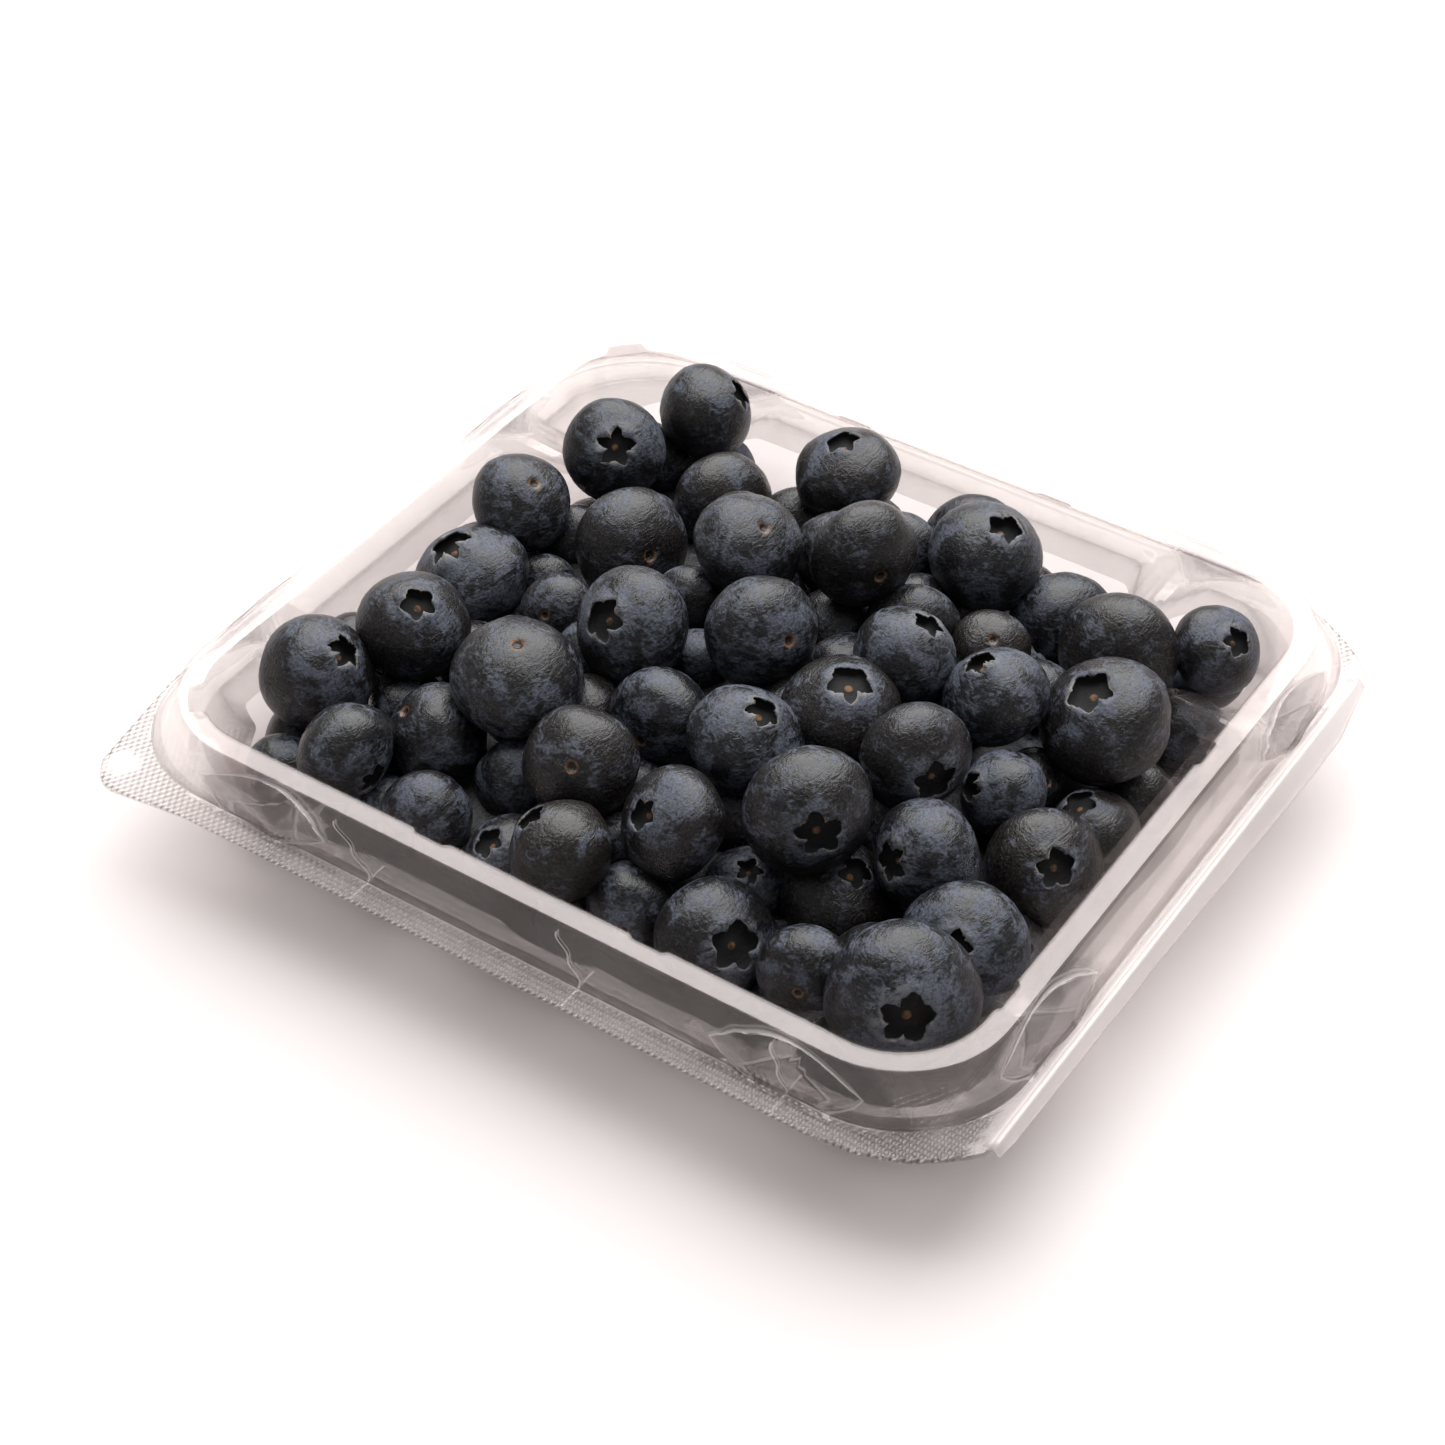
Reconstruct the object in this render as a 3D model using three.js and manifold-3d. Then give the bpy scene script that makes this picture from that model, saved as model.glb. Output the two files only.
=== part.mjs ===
// A clear punnet heaped with blueberries: the thin formed tray of a hinged pack, its lid cut away
// along the hinge, and the heap of berries that fills it.
//
// Millimetres, +Z up. The origin is the middle of the tray's flat base. X runs along the long side,
// with the hinge on the +X side and the lifting tab at the corner of -X and -Y.

import * as THREE from 'three';
import { mergeVertices } from 'three/addons/utils/BufferGeometryUtils.js';
import Module from 'manifold-3d';

const wasm = await Module();
wasm.setup();

// ---------------------------------------------------------------- driving sizes

const SHEET = 0.5;                 // thickness of the formed sheet
const RIM = { halfX: 63, halfY: 55.5, corner: 13, top: 22, flat: 3.7 };   // inner edge of the rim
const FLOOR = { inset: 4.5, fillet: 4.2 };                // the tub draws in by inset at its floor
const FOOT = { offset: 7.1, corner: 18.8, top: 15.6 };    // where the bead's outer wall meets the flange
const HINGE = { x: 72.3, ridge: 0.6 };
const POCKET = { halfWidth: 3, depth: 1.9, lip: 0.6, ledge: 16.8, ramp: 0.7 };   // stops trays nesting
const BUTTON = { halfLength: 10.5, proud: 0.9, low: 14.9, high: 21.4 };   // lens-shaped lid catches
const CORNER_STEPS = 6;            // facets in a quarter turn of the tray

const CLEAR = 0.4;                 // least gap between a berry and the tray
const SQUASH = 0.94;               // neighbouring berries settle to this share of their radii
const HEAP_TOP = 28;               // level of the top berries' middles in the middle of the heap
const HEAP_EDGE = 17;              // and at the tub's walls
const LAYER_DROP = 5;              // a berry half under its neighbours sits this much lower
const CORE = { inset: 10, base: 3.2, sunk: 8.5, post: 3.2 };   // solid middle of the heap
const BURIED = { trials: 12000, least: 5.8, most: 7.6, high: 2, low: 18, squash: 0.85, core: 0.5, seed: 31 };

// Sides and corners are numbered in turn: 0 is the side at -Y, 1 the hinge side, 2 at +Y, 3 at -X,
// and corner n follows side n. Places are millimetres along the side from its middle.
const SIDE_POCKETS = [
  { side: 0, at: -15 }, { side: 0, at: 20.5 },
  { side: 1, at: -38 }, { side: 1, at: 17 },
  { side: 2, at: -18 }, { side: 2, at: 18 },
];
const CORNER_POCKETS = [2, 3];
const BUTTONS = [
  { side: 0, at: -36 }, { side: 0, at: 40.5 },
  { side: 1, at: -32 }, { side: 1, at: 31 },
  { side: 2, at: -38 }, { side: 2, at: 38 },
  { side: 3, at: -28 }, { side: 3, at: 28 },
];

// Edge of the trimmed flange, anticlockwise: broad along -Y, cut straight at the hinge, close
// trimmed along +Y and -X, and drawn out to the lifting tab between them.
const FLANGE_EDGE = [
  [52, -66.9], [58.5, -66.2], [64.3, -64], [68.7, -60.7], [72.3, -57.1],
  [72.3, 50.4], [73, 50.9], [70.7, 54.2], [66.8, 57.2], [61.8, 60.3], [51.2, 63.5],
  [-51.2, 63.5], [-61.5, 61], [-68.4, 54], [-70.9, 43.8],
  [-70.9, -46], [-68.2, -61], [-67.4, -64.9], [-65.6, -67.2], [-63.2, -68.7],
  [-56, -67.6], [-50, -66.9],
];

// The torn strip of lid along the hinge: at places along Y, how far it reaches and drops.
const LID_STRIP = [
  { at: -56.4, reach: 1.1, drop: 0.4 }, { at: -53, reach: 1.3, drop: 1 },
  { at: -10, reach: 1.6, drop: 1.6 }, { at: 20, reach: 2.3, drop: 2.2 },
  { at: 39, reach: 2.5, drop: 2.3 }, { at: 49.8, reach: 1.1, drop: 0.3 },
];

// ---------------------------------------------------------------- the view the heap is laid out in

// The berries on top are placed as they are seen from over the corner between -Y and the hinge.
// The view is 1445 units square; a berry's place there and its width give the rest.
const VIEW = { turn: 33.8, lift: 41.7, eye: [175.1, -269.8, 294.8], focal: 2936.5, middle: 722.5 };

// across, down, width, height, layer, then the calyx (facing 1) or the stem scar (facing -1) as
// it shows, or facing 0 where the berry hides both. Layer 0 lies on top, 1 and 2 partly under.
const TOP_BERRIES = [
  [705, 411, 90, 97, 0, 745, 393, 1], [613, 448, 104, 104, 0, 617, 450, 1],
  [645, 460, 70, 90, 1, 660, 430, 0], [521, 502, 96, 104, 0, 540, 480, -1],
  [470, 578, 122, 92, 1, 445, 537, 1], [413, 626, 112, 114, 0, 424, 600, 1],
  [316, 674, 117, 117, 0, 352, 650, 1], [517, 677, 135, 113, 0, 521, 634, -1],
  [630, 545, 118, 95, 1, 657, 560, -1], [632, 625, 114, 122, 0, 597, 619, 1],
  [722, 500, 100, 80, 1, 700, 480, 0], [747, 545, 113, 90, 0, 768, 523, -1],
  [760, 630, 112, 116, 0, 792, 642, -1], [848, 472, 108, 84, 0, 838, 433, 1],
  [864, 552, 112, 98, 0, 845, 520, 0], [985, 555, 117, 112, 0, 1003, 525, 1],
  [345, 751, 104, 90, 0, 382, 783, 1], [437, 734, 106, 102, 1, 404, 708, -1],
  [283, 768, 75, 72, 1, 290, 740, 0], [427, 815, 94, 90, 0, 440, 790, 0],
  [580, 762, 116, 108, 0, 572, 766, -1], [522, 779, 98, 92, 2, 505, 750, 0],
  [662, 718, 110, 98, 1, 690, 690, 0], [745, 738, 121, 98, 0, 766, 703, 1],
  [673, 822, 90, 118, 0, 633, 808, 1], [560, 851, 106, 109, 0, 527, 812, 1],
  [512, 862, 100, 100, 1, 488, 838, 1], [632, 905, 92, 95, 1, 640, 880, 0],
  [714, 940, 128, 116, 0, 742, 944, 1], [745, 885, 85, 75, 1, 751, 862, 1],
  [835, 895, 126, 95, 1, 858, 860, 1], [810, 810, 134, 114, 0, 819, 838, 1],
  [842, 710, 124, 86, 0, 850, 674, 1], [905, 655, 105, 106, 0, 930, 619, 1],
  [990, 648, 82, 72, 1, 990, 636, -1], [996, 694, 110, 98, 0, 973, 655, 1],
  [1060, 622, 108, 72, 1, 1050, 600, 0], [1118, 650, 122, 90, 1, 1140, 625, 0],
  [1216, 648, 88, 94, 0, 1236, 638, 1], [1105, 719, 137, 108, 0, 1079, 680, 1],
  [1190, 736, 86, 88, 1, 1180, 702, 0], [1139, 803, 84, 86, 1, 1150, 775, 0],
  [915, 755, 118, 93, 0, 939, 787, 1], [1003, 793, 90, 92, 0, 966, 783, 1],
  [1030, 780, 70, 70, 1, 1047, 781, -1], [925, 853, 106, 114, 0, 882, 860, 1],
  [1045, 866, 122, 122, 0, 1054, 864, 1], [1092, 832, 96, 90, 1, 1072, 797, 1],
  [965, 945, 136, 112, 0, 944, 943, 1], [807, 970, 102, 94, 0, 820, 945, 0],
  [903, 994, 157, 114, 0, 905, 1019, 1], [797, 528, 84, 92, 2, 790, 505, 0],
  [900, 550, 70, 82, 1, 912, 535, 0], [912, 626, 98, 86, 1, 915, 590, 0],
  [834, 632, 94, 98, 2, 830, 600, 0], [690, 600, 70, 76, 1, 703, 580, 0],
  [557, 610, 78, 74, 1, 543, 617, -1], [545, 585, 66, 62, 2, 550, 570, 0],
  [698, 662, 72, 72, 2, 700, 640, 0], [735, 822, 76, 84, 2, 730, 795, 0],
  [578, 545, 60, 85, 2, 570, 520, 0], [622, 848, 74, 80, 2, 625, 830, 0],
];

// Where the view falls on bare tray beside the heap, so that no buried berry shows there.
const BARE_SPOTS = [
  [235, 680], [245, 715], [262, 612], [300, 603], [340, 600], [355, 605], [395, 550], [440, 505],
  [475, 462], [500, 445], [545, 435], [560, 465], [574, 492], [590, 385], [640, 390], [655, 400],
  [760, 420], [768, 460], [785, 475], [800, 435], [908, 460], [900, 495], [918, 518], [945, 495],
  [1050, 560], [1062, 580], [1110, 592], [1160, 605], [1180, 598], [1240, 600], [1266, 640],
  [1254, 688],
];

const CLEAR_PLASTIC = { color: 0xe9e7e6, roughness: 0.08, metalness: 0 };
const BERRY_SKIN = { color: 0x3c4250, roughness: 0.6, metalness: 0 };

// ---------------------------------------------------------------- small helpers

/** The same run of draws from 0 to 1 every time. */
function seededDraws(seed) {
  let state = seed;
  return () => {
    state = (state * 48271) % 2147483647;
    return state / 2147483647;
  };
}

/** A closed geometry as a manifold-3d solid. */
function toSolid(geometry) {
  const bare = geometry.clone();
  bare.deleteAttribute('normal');
  bare.deleteAttribute('uv');
  const merged = mergeVertices(bare, 1e-4);
  return new wasm.Manifold(new wasm.Mesh({
    numProp: 3,
    vertProperties: new Float32Array(merged.attributes.position.array),
    triVerts: new Uint32Array(merged.index.array),
  }));
}

/** A manifold-3d solid as a geometry. */
function toGeometry(solid) {
  const mesh = solid.getMesh();
  const geometry = new THREE.BufferGeometry();
  geometry.setAttribute('position', new THREE.BufferAttribute(mesh.vertProperties, 3));
  geometry.setIndex(new THREE.BufferAttribute(mesh.triVerts, 1));
  geometry.computeVertexNormals();
  return geometry;
}

/** A closed skin through equal rings of points, with a point in the middle of each end. */
function loftRings(startPoint, rings, endPoint) {
  const count = rings[0].length;
  const points = [startPoint, ...rings.flat(), endPoint];
  const last = points.length - 1;
  const faces = [];
  for (let k = 0; k < count; k += 1) {
    const next = (k + 1) % count;
    faces.push(0, 1 + k, 1 + next);
    for (let ring = 0; ring < rings.length - 1; ring += 1) {
      const low = 1 + ring * count;
      const high = low + count;
      faces.push(low + k, high + k, high + next, low + k, high + next, low + next);
    }
    const top = last - count;
    faces.push(last, top + next, top + k);
  }
  const geometry = new THREE.BufferGeometry();
  geometry.setAttribute('position', new THREE.Float32BufferAttribute(points.flat(), 3));
  geometry.setIndex(faces);
  return geometry;
}

// ---------------------------------------------------------------- the tray

/** Half the width of a side's straight stretch on a rounded rectangle grown by offset. */
function straightHalf(side, offset, corner) {
  return (side % 2 === 0 ? RIM.halfX : RIM.halfY) + offset - corner;
}

/** Points round the tray: every side's straight stations, then those of the corner after it. */
function trayStations() {
  const stations = [];
  for (let side = 0; side < 4; side += 1) {
    const half = straightHalf(side, 0, RIM.corner);
    const places = [-half, half];
    for (const pocket of SIDE_POCKETS.filter((item) => item.side === side)) {
      for (const edge of [POCKET.halfWidth, POCKET.halfWidth - POCKET.ramp]) {
        places.push(pocket.at - edge, pocket.at + edge);
      }
    }
    for (const button of BUTTONS.filter((item) => item.side === side)) {
      for (const share of [-1, -0.5, 0.5, 1]) places.push(button.at + share * BUTTON.halfLength);
    }
    const ordered = places.filter((at) => Math.abs(at) <= half).sort((a, b) => a - b)
      .filter((at, index, list) => index === 0 || at - list[index - 1] > 0.3);
    for (const at of ordered) stations.push({ side, along: at, angle: side * 90 - 90 });
    const angles = [];
    for (let step = 1; step < CORNER_STEPS; step += 1) angles.push((90 * step) / CORNER_STEPS);
    if (CORNER_POCKETS.includes(side)) {
      const spread = THREE.MathUtils.radToDeg(POCKET.halfWidth / RIM.corner);
      const crest = THREE.MathUtils.radToDeg((POCKET.halfWidth - POCKET.ramp) / RIM.corner);
      angles.push(45 - spread, 45 - crest, 45 + crest, 45 + spread);
    }
    for (const angle of angles.sort((a, b) => a - b)) {
      stations.push({ corner: side, turn: angle - 45, angle: side * 90 - 90 + angle });
    }
  }
  return stations;
}

/** Place of a station on the rounded rectangle grown by offset, and its outward direction. */
function stationPoint(station, offset, corner) {
  const angle = THREE.MathUtils.degToRad(station.angle);
  const out = [Math.cos(angle), Math.sin(angle)];
  const halfX = RIM.halfX + offset;
  const halfY = RIM.halfY + offset;
  if (station.side === undefined) {
    const signs = [[1, -1], [1, 1], [-1, 1], [-1, -1]][station.corner];
    return { out, x: signs[0] * (halfX - corner) + corner * out[0],
      y: signs[1] * (halfY - corner) + corner * out[1] };
  }
  const share = station.along / straightHalf(station.side, 0, RIM.corner);
  const run = share * straightHalf(station.side, offset, corner);
  const places = [[run, -halfY], [halfX, run], [-run, halfY], [-halfX, -run]];
  return { out, x: places[station.side][0], y: places[station.side][1] };
}

/** How far a denesting pocket pushes the tub's wall out: at a side it closes up to its lip. */
function pocketPush(station, z) {
  let distance = Infinity;
  let depth = POCKET.depth;
  if (station.side === undefined) {
    if (CORNER_POCKETS.includes(station.corner)) {
      distance = Math.abs(THREE.MathUtils.degToRad(station.turn)) * RIM.corner;
    }
  } else {
    for (const pocket of SIDE_POCKETS.filter((item) => item.side === station.side)) {
      distance = Math.min(distance, Math.abs(station.along - pocket.at));
    }
    const rise = THREE.MathUtils.clamp((z - POCKET.ledge) / (RIM.top - POCKET.ledge), 0, 1);
    depth += (POCKET.lip - POCKET.depth) * rise;
  }
  return depth * THREE.MathUtils.clamp((POCKET.halfWidth - distance) / POCKET.ramp, 0, 1);
}

/** How far a snap button swells the bead's wall at a station and height. */
function buttonPush(station, z) {
  const level = (2 * (z - BUTTON.low)) / (BUTTON.high - BUTTON.low) - 1;
  let push = 0;
  for (const button of BUTTONS.filter((item) => item.side === station.side)) {
    const along = (station.along - button.at) / BUTTON.halfLength;
    push = Math.max(push, BUTTON.proud * (1 - along * along) * (1 - level * level));
  }
  return push;
}

/** Distance from a point along a direction to the trimmed edge of the flange. */
function reachToEdge(x, y, out) {
  let reach = Infinity;
  FLANGE_EDGE.forEach(([ax, ay], index) => {
    const [bx, by] = FLANGE_EDGE[(index + 1) % FLANGE_EDGE.length];
    const cross = out[0] * (by - ay) - out[1] * (bx - ax);
    if (Math.abs(cross) < 1e-9) return;
    const distance = ((ax - x) * (by - ay) - (ay - y) * (bx - ax)) / cross;
    const share = ((ax - x) * out[1] - (ay - y) * out[0]) / cross;
    if (distance > 0 && share >= -1e-9 && share <= 1 + 1e-9) reach = Math.min(reach, distance);
  });
  return reach;
}

/** Offset of the tub's inner wall from the rim's inner edge, at a height. */
function wallOffset(z) {
  return -FLOOR.inset * (1 - z / RIM.top);
}

/** The tray as one thin solid: down its outer face from the floor to the rim, and back inside. */
function makeTray() {
  const stations = trayStations();
  const ring = (offset, z, corner = RIM.corner + offset, push = () => 0) => stations.map((station) => {
    const { x, y, out } = stationPoint(station, offset, corner);
    const extra = push(station, z);
    return [x + extra * out[0], y + extra * out[1], z];
  });
  const flangeRing = (z) => stations.map((station) => {
    const { x, y, out } = stationPoint(station, FOOT.offset, FOOT.corner);
    const reach = reachToEdge(x, y, out);
    return [x + reach * out[0], y + reach * out[1], z];
  });

  // The floor's fillet, from the flat floor up into the wall.
  const fillet = (lift, grow) => [20, 65].map((degrees) => {
    const angle = THREE.MathUtils.degToRad(degrees);
    const offset = wallOffset(FLOOR.fillet) + grow - FLOOR.fillet * (1 - Math.sin(angle));
    return ring(offset, lift + (FLOOR.fillet - lift) * (1 - Math.cos(angle)));
  });

  // The bead's outer wall leans out from the rim to the foot and carries the snap buttons.
  const beadWall = (skin) => [21.1, 19.6, 18.1, 16.5].map((z) => {
    const share = (RIM.top - z) / (RIM.top - FOOT.top);
    const offset = RIM.flat + (FOOT.offset - RIM.flat) * share - skin;
    const corner = RIM.corner + RIM.flat + (FOOT.corner - RIM.corner - RIM.flat) * share - skin;
    return ring(offset, z - 0.3 * skin, corner, buttonPush);
  });

  const upper = [
    ...fillet(SHEET, 0),
    ring(wallOffset(POCKET.ledge - 0.5), POCKET.ledge - 0.5),
    ring(wallOffset(POCKET.ledge), POCKET.ledge, undefined, pocketPush),
    ring(wallOffset(21.5), 21.5, undefined, pocketPush),
    ring(0.15, 21.85, undefined, pocketPush),
    ring(0.5, RIM.top, undefined, pocketPush),
    ring(RIM.flat - 0.5, RIM.top),
    ring(RIM.flat - 0.1, 21.8),
    ...beadWall(0),
    ring(FOOT.offset, FOOT.top + 0.25, FOOT.corner),
    ring(FOOT.offset + 0.4, FOOT.top, FOOT.corner),
    flangeRing(FOOT.top),
  ];
  const lower = [
    flangeRing(FOOT.top - SHEET),
    ring(FOOT.offset - 0.1, FOOT.top - SHEET, FOOT.corner),
    ...beadWall(SHEET).reverse(),
    ring(RIM.flat - 0.75, RIM.top - SHEET),
    ring(0.85, RIM.top - SHEET, undefined, pocketPush),
    ring(0.45, 21.1, undefined, pocketPush),
    ring(wallOffset(POCKET.ledge) + SHEET, POCKET.ledge - 0.4, undefined, pocketPush),
    ring(wallOffset(POCKET.ledge - 0.9) + SHEET, POCKET.ledge - 0.9),
    ...fillet(0, SHEET).reverse(),
  ];
  const shell = loftRings([0, 0, SHEET], [...upper, ...lower], [0, 0, 0]);
  return toGeometry(toSolid(shell).add(toSolid(hingeStrip())));
}

/** The ridge of the hinge and the narrow strip of lid that still hangs from it. */
function hingeStrip() {
  const { x, ridge } = HINGE;
  const top = FOOT.top;
  const rings = LID_STRIP.map(({ at, reach, drop }) => {
    const arch = [10, 45, 90, 140, 200].map((degrees) => {
      const angle = THREE.MathUtils.degToRad(degrees);
      return [x + ridge * Math.cos(angle), at, top + ridge * Math.sin(angle)];
    });
    return [
      [x + 0.1, at, top - 0.45], [x + reach - 0.25, at, top - drop - 0.45], [x + reach, at, top - drop],
      ...arch, [x - 1.6, at, top - 0.1], [x - 1.6, at, top - 0.4],
    ];
  });
  const middle = (at) => [x, at, top - 0.2];
  return loftRings(middle(LID_STRIP[0].at), rings, middle(LID_STRIP[LID_STRIP.length - 1].at));
}

// ---------------------------------------------------------------- the heap

/** The directions of the view: towards the eye, to its right and up. */
function viewAxes() {
  const turn = THREE.MathUtils.degToRad(VIEW.turn);
  const lift = THREE.MathUtils.degToRad(VIEW.lift);
  const back = new THREE.Vector3(
    Math.sin(turn) * Math.cos(lift), -Math.cos(turn) * Math.cos(lift), Math.sin(lift));
  const right = new THREE.Vector3(Math.cos(turn), Math.sin(turn), 0);
  const up = new THREE.Vector3().crossVectors(back, right);
  return { back, right, up, eye: new THREE.Vector3(...VIEW.eye) };
}

/** The line of sight through a place in the view, one millimetre of depth long. */
function sightLine(axes, across, down) {
  return axes.back.clone().negate()
    .addScaledVector(axes.right, (across - VIEW.middle) / VIEW.focal)
    .addScaledVector(axes.up, (VIEW.middle - down) / VIEW.focal);
}

/** Where a point appears in the view, and its depth. */
function seenAt(axes, point) {
  const from = point.clone().sub(axes.eye);
  const depth = -from.dot(axes.back);
  return {
    depth,
    across: VIEW.middle + (VIEW.focal * from.dot(axes.right)) / depth,
    down: VIEW.middle - (VIEW.focal * from.dot(axes.up)) / depth,
  };
}

/** Level of the top berries' middles over a place in the tray: a low dome. */
function domeLevel(x, y) {
  const fall = Math.max(0, 1 - (x / RIM.halfX) ** 2) * Math.max(0, 1 - (y / RIM.halfY) ** 2);
  return HEAP_EDGE + (HEAP_TOP - HEAP_EDGE) * fall;
}

/** Moves a berry's middle in until it clears the tub's walls and floor. */
function clearOfTub(middle, radius) {
  const inset = radius + CLEAR - wallOffset(Math.min(middle.z, RIM.top));
  const halfX = RIM.halfX - inset;
  const halfY = RIM.halfY - inset;
  middle.x = THREE.MathUtils.clamp(middle.x, -halfX, halfX);
  middle.y = THREE.MathUtils.clamp(middle.y, -halfY, halfY);
  const corner = Math.max(RIM.corner - inset, 0.5);
  const overX = Math.abs(middle.x) - (halfX - corner);
  const overY = Math.abs(middle.y) - (halfY - corner);
  if (overX > 0 && overY > 0 && Math.hypot(overX, overY) > corner) {
    const shrink = corner / Math.hypot(overX, overY);
    middle.x = Math.sign(middle.x) * (halfX - corner + overX * shrink);
    middle.y = Math.sign(middle.y) * (halfY - corner + overY * shrink);
  }
  middle.z = Math.max(middle.z, SHEET + CLEAR + radius);
  return middle;
}

/** Where a berry on top lies at its present depth, and its true size there. */
function placeBerry(axes, berry) {
  const scale = berry.depth / VIEW.focal;
  berry.middle = axes.eye.clone().addScaledVector(berry.line, berry.depth);
  berry.wide = berry.seenWide * scale;
  berry.tall = berry.wide * berry.flatness;
  berry.radius = Math.cbrt(berry.wide ** 2 * berry.tall);
}

/** How far two berries still have to part along their lines of sight, if they lie too close. */
function overlapOf(front, rear) {
  const gap = front.middle.distanceTo(rear.middle);
  const need = SQUASH * (front.radius + rear.radius);
  if (gap >= need) return 0;
  const apart = rear.depth - front.depth;
  const sideways = Math.max(0, gap * gap - apart * apart);
  return Math.sqrt(Math.max(0, need * need - sideways)) - apart;
}

/** Slides the berries on top along their lines of sight until neighbours just touch. */
function settleTopBerries(axes) {
  const berries = TOP_BERRIES.map(([across, down, width, height, layer, poleX, poleY, facing]) => {
    const berry = { across, down, layer, seenWide: Math.max(width, height) / 2,
      line: sightLine(axes, across, down), depth: 420, shift: 0 };
    berry.pole = poleDirection(axes, berry, poleX, poleY, facing);
    berry.flatness = flatnessOf(axes, berry, Math.min(width, height) / 2);
    return berry;
  });
  for (let round = 0; round < 900; round += 1) {
    const finding = round < 60;
    for (const berry of berries) {
      placeBerry(axes, berry);
      const level = domeLevel(berry.middle.x, berry.middle.y) - LAYER_DROP * berry.layer;
      berry.shift = (finding ? 0.8 : 0.02) * (berry.middle.z - level);
      const kept = clearOfTub(berry.middle.clone(), berry.wide).sub(berry.middle);
      if (!finding && kept.length() > 0.01) {
        berry.shift += THREE.MathUtils.clamp(kept.lengthSq() / kept.dot(berry.line), -2, 2);
      }
    }
    berries.forEach((one, index) => {
      for (const other of finding ? [] : berries.slice(index + 1)) {
        const inTurn = one.layer === other.layer ? one.depth < other.depth : one.layer < other.layer;
        const [front, rear] = inTurn ? [one, other] : [other, one];
        const push = 0.175 * overlapOf(front, rear);
        front.shift -= push;
        rear.shift += push;
      }
    });
    for (const berry of berries) {
      berry.depth += finding ? berry.shift : THREE.MathUtils.clamp(berry.shift, -0.6, 0.6);
    }
  }
  for (const berry of berries) {
    placeBerry(axes, berry);
    clearOfTub(berry.middle, berry.wide);
  }
  return berries;
}

/** The direction of a berry's calyx, from where its calyx or stem scar shows. */
function poleDirection(axes, berry, poleX, poleY, facing) {
  const right = (poleX - berry.across) / berry.seenWide;
  const up = (berry.down - poleY) / berry.seenWide;
  const out = Math.hypot(right, up);
  const scale = out > 0.95 ? 0.95 / out : 1;
  const pole = new THREE.Vector3()
    .addScaledVector(axes.right, right * scale)
    .addScaledVector(axes.up, up * scale)
    .addScaledVector(axes.back, Math.sqrt(1 - (out * scale) ** 2));
  return facing === 0 ? pole.reflect(axes.back) : pole.multiplyScalar(facing);
}

/** How flat a berry is, pole to pole, from the narrowest width it shows. */
function flatnessOf(axes, berry, narrow) {
  const facing = berry.pole.dot(axes.back) ** 2;
  const share = ((narrow / berry.seenWide) ** 2 - facing) / Math.max(1 - facing, 0.3);
  return THREE.MathUtils.clamp(Math.sqrt(Math.max(share, 0)), 0.78, 0.92);
}

/** Whether a buried berry would show on bare tray beside the heap, or before a berry on top. */
function showsWrongly(axes, topBerries, middle, radius) {
  const { across, down, depth } = seenAt(axes, middle);
  const wide = (radius * VIEW.focal) / depth;
  if (BARE_SPOTS.some(([x, y]) => Math.hypot(across - x, down - y) < 1.1 * wide)) return true;
  let wrong = 0;
  for (let step = 0; step < 18; step += 1) {
    const reach = (step % 3 === 0 ? 0.45 : 0.92) * wide;
    const x = across + reach * Math.cos((step * Math.PI) / 9);
    const y = down + reach * Math.sin((step * Math.PI) / 9);
    const over = topBerries.filter((berry) =>
      Math.hypot(x - berry.across, y - berry.down) < 0.95 * berry.seenWide);
    if (over.length > 0 && over.every((berry) => berry.depth > depth)) wrong += 1;
  }
  return wrong > 2;
}

/** The berries between and under those on top, wedged in from the dome down wherever one fits. */
function layBuriedBerries(axes, topBerries) {
  const draw = seededDraws(BURIED.seed);
  const buried = [];
  const fits = (middle, radius) => [...topBerries, ...buried].every((berry) =>
    berry.middle.distanceTo(middle) > BURIED.squash * (berry.radius + radius))
    && !showsWrongly(axes, topBerries, middle, radius);
  for (let trial = 0; trial < BURIED.trials; trial += 1) {
    const radius = BURIED.least + (BURIED.most - BURIED.least) * draw();
    const x = (2 * draw() - 1) * RIM.halfX;
    const y = (2 * draw() - 1) * RIM.halfY;
    const under = BURIED.high + (BURIED.low - BURIED.high) * (trial / BURIED.trials);
    const middle = clearOfTub(new THREE.Vector3(x, y, domeLevel(x, y) - under), radius);
    if (!fits(middle, radius)) continue;
    const pole = new THREE.Vector3(draw() - 0.5, draw() - 0.5, draw() - 0.5).normalize();
    buried.push({ middle, radius, pole, wide: radius * 1.04, tall: radius * 0.9 });
  }
  return buried;
}

/** A berry with few sides: flattened, and dished at its calyx where that shows. */
function berrySolid({ middle, pole, wide, tall }, levels, sides, dished) {
  const profile = [new THREE.Vector2(0, -tall)];
  for (const degrees of levels) {
    const angle = THREE.MathUtils.degToRad(degrees);
    profile.push(new THREE.Vector2(wide * Math.cos(angle), tall * Math.sin(angle)));
  }
  if (dished) profile.push(new THREE.Vector2(wide * 0.36, tall * 0.93));
  profile.push(new THREE.Vector2(0, tall * (dished ? 0.76 : 1)));
  const geometry = new THREE.LatheGeometry(profile, sides);
  geometry.applyQuaternion(
    new THREE.Quaternion().setFromUnitVectors(new THREE.Vector3(0, 1, 0), pole));
  geometry.translate(middle.x, middle.y, middle.z);
  return toSolid(geometry);
}

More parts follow.
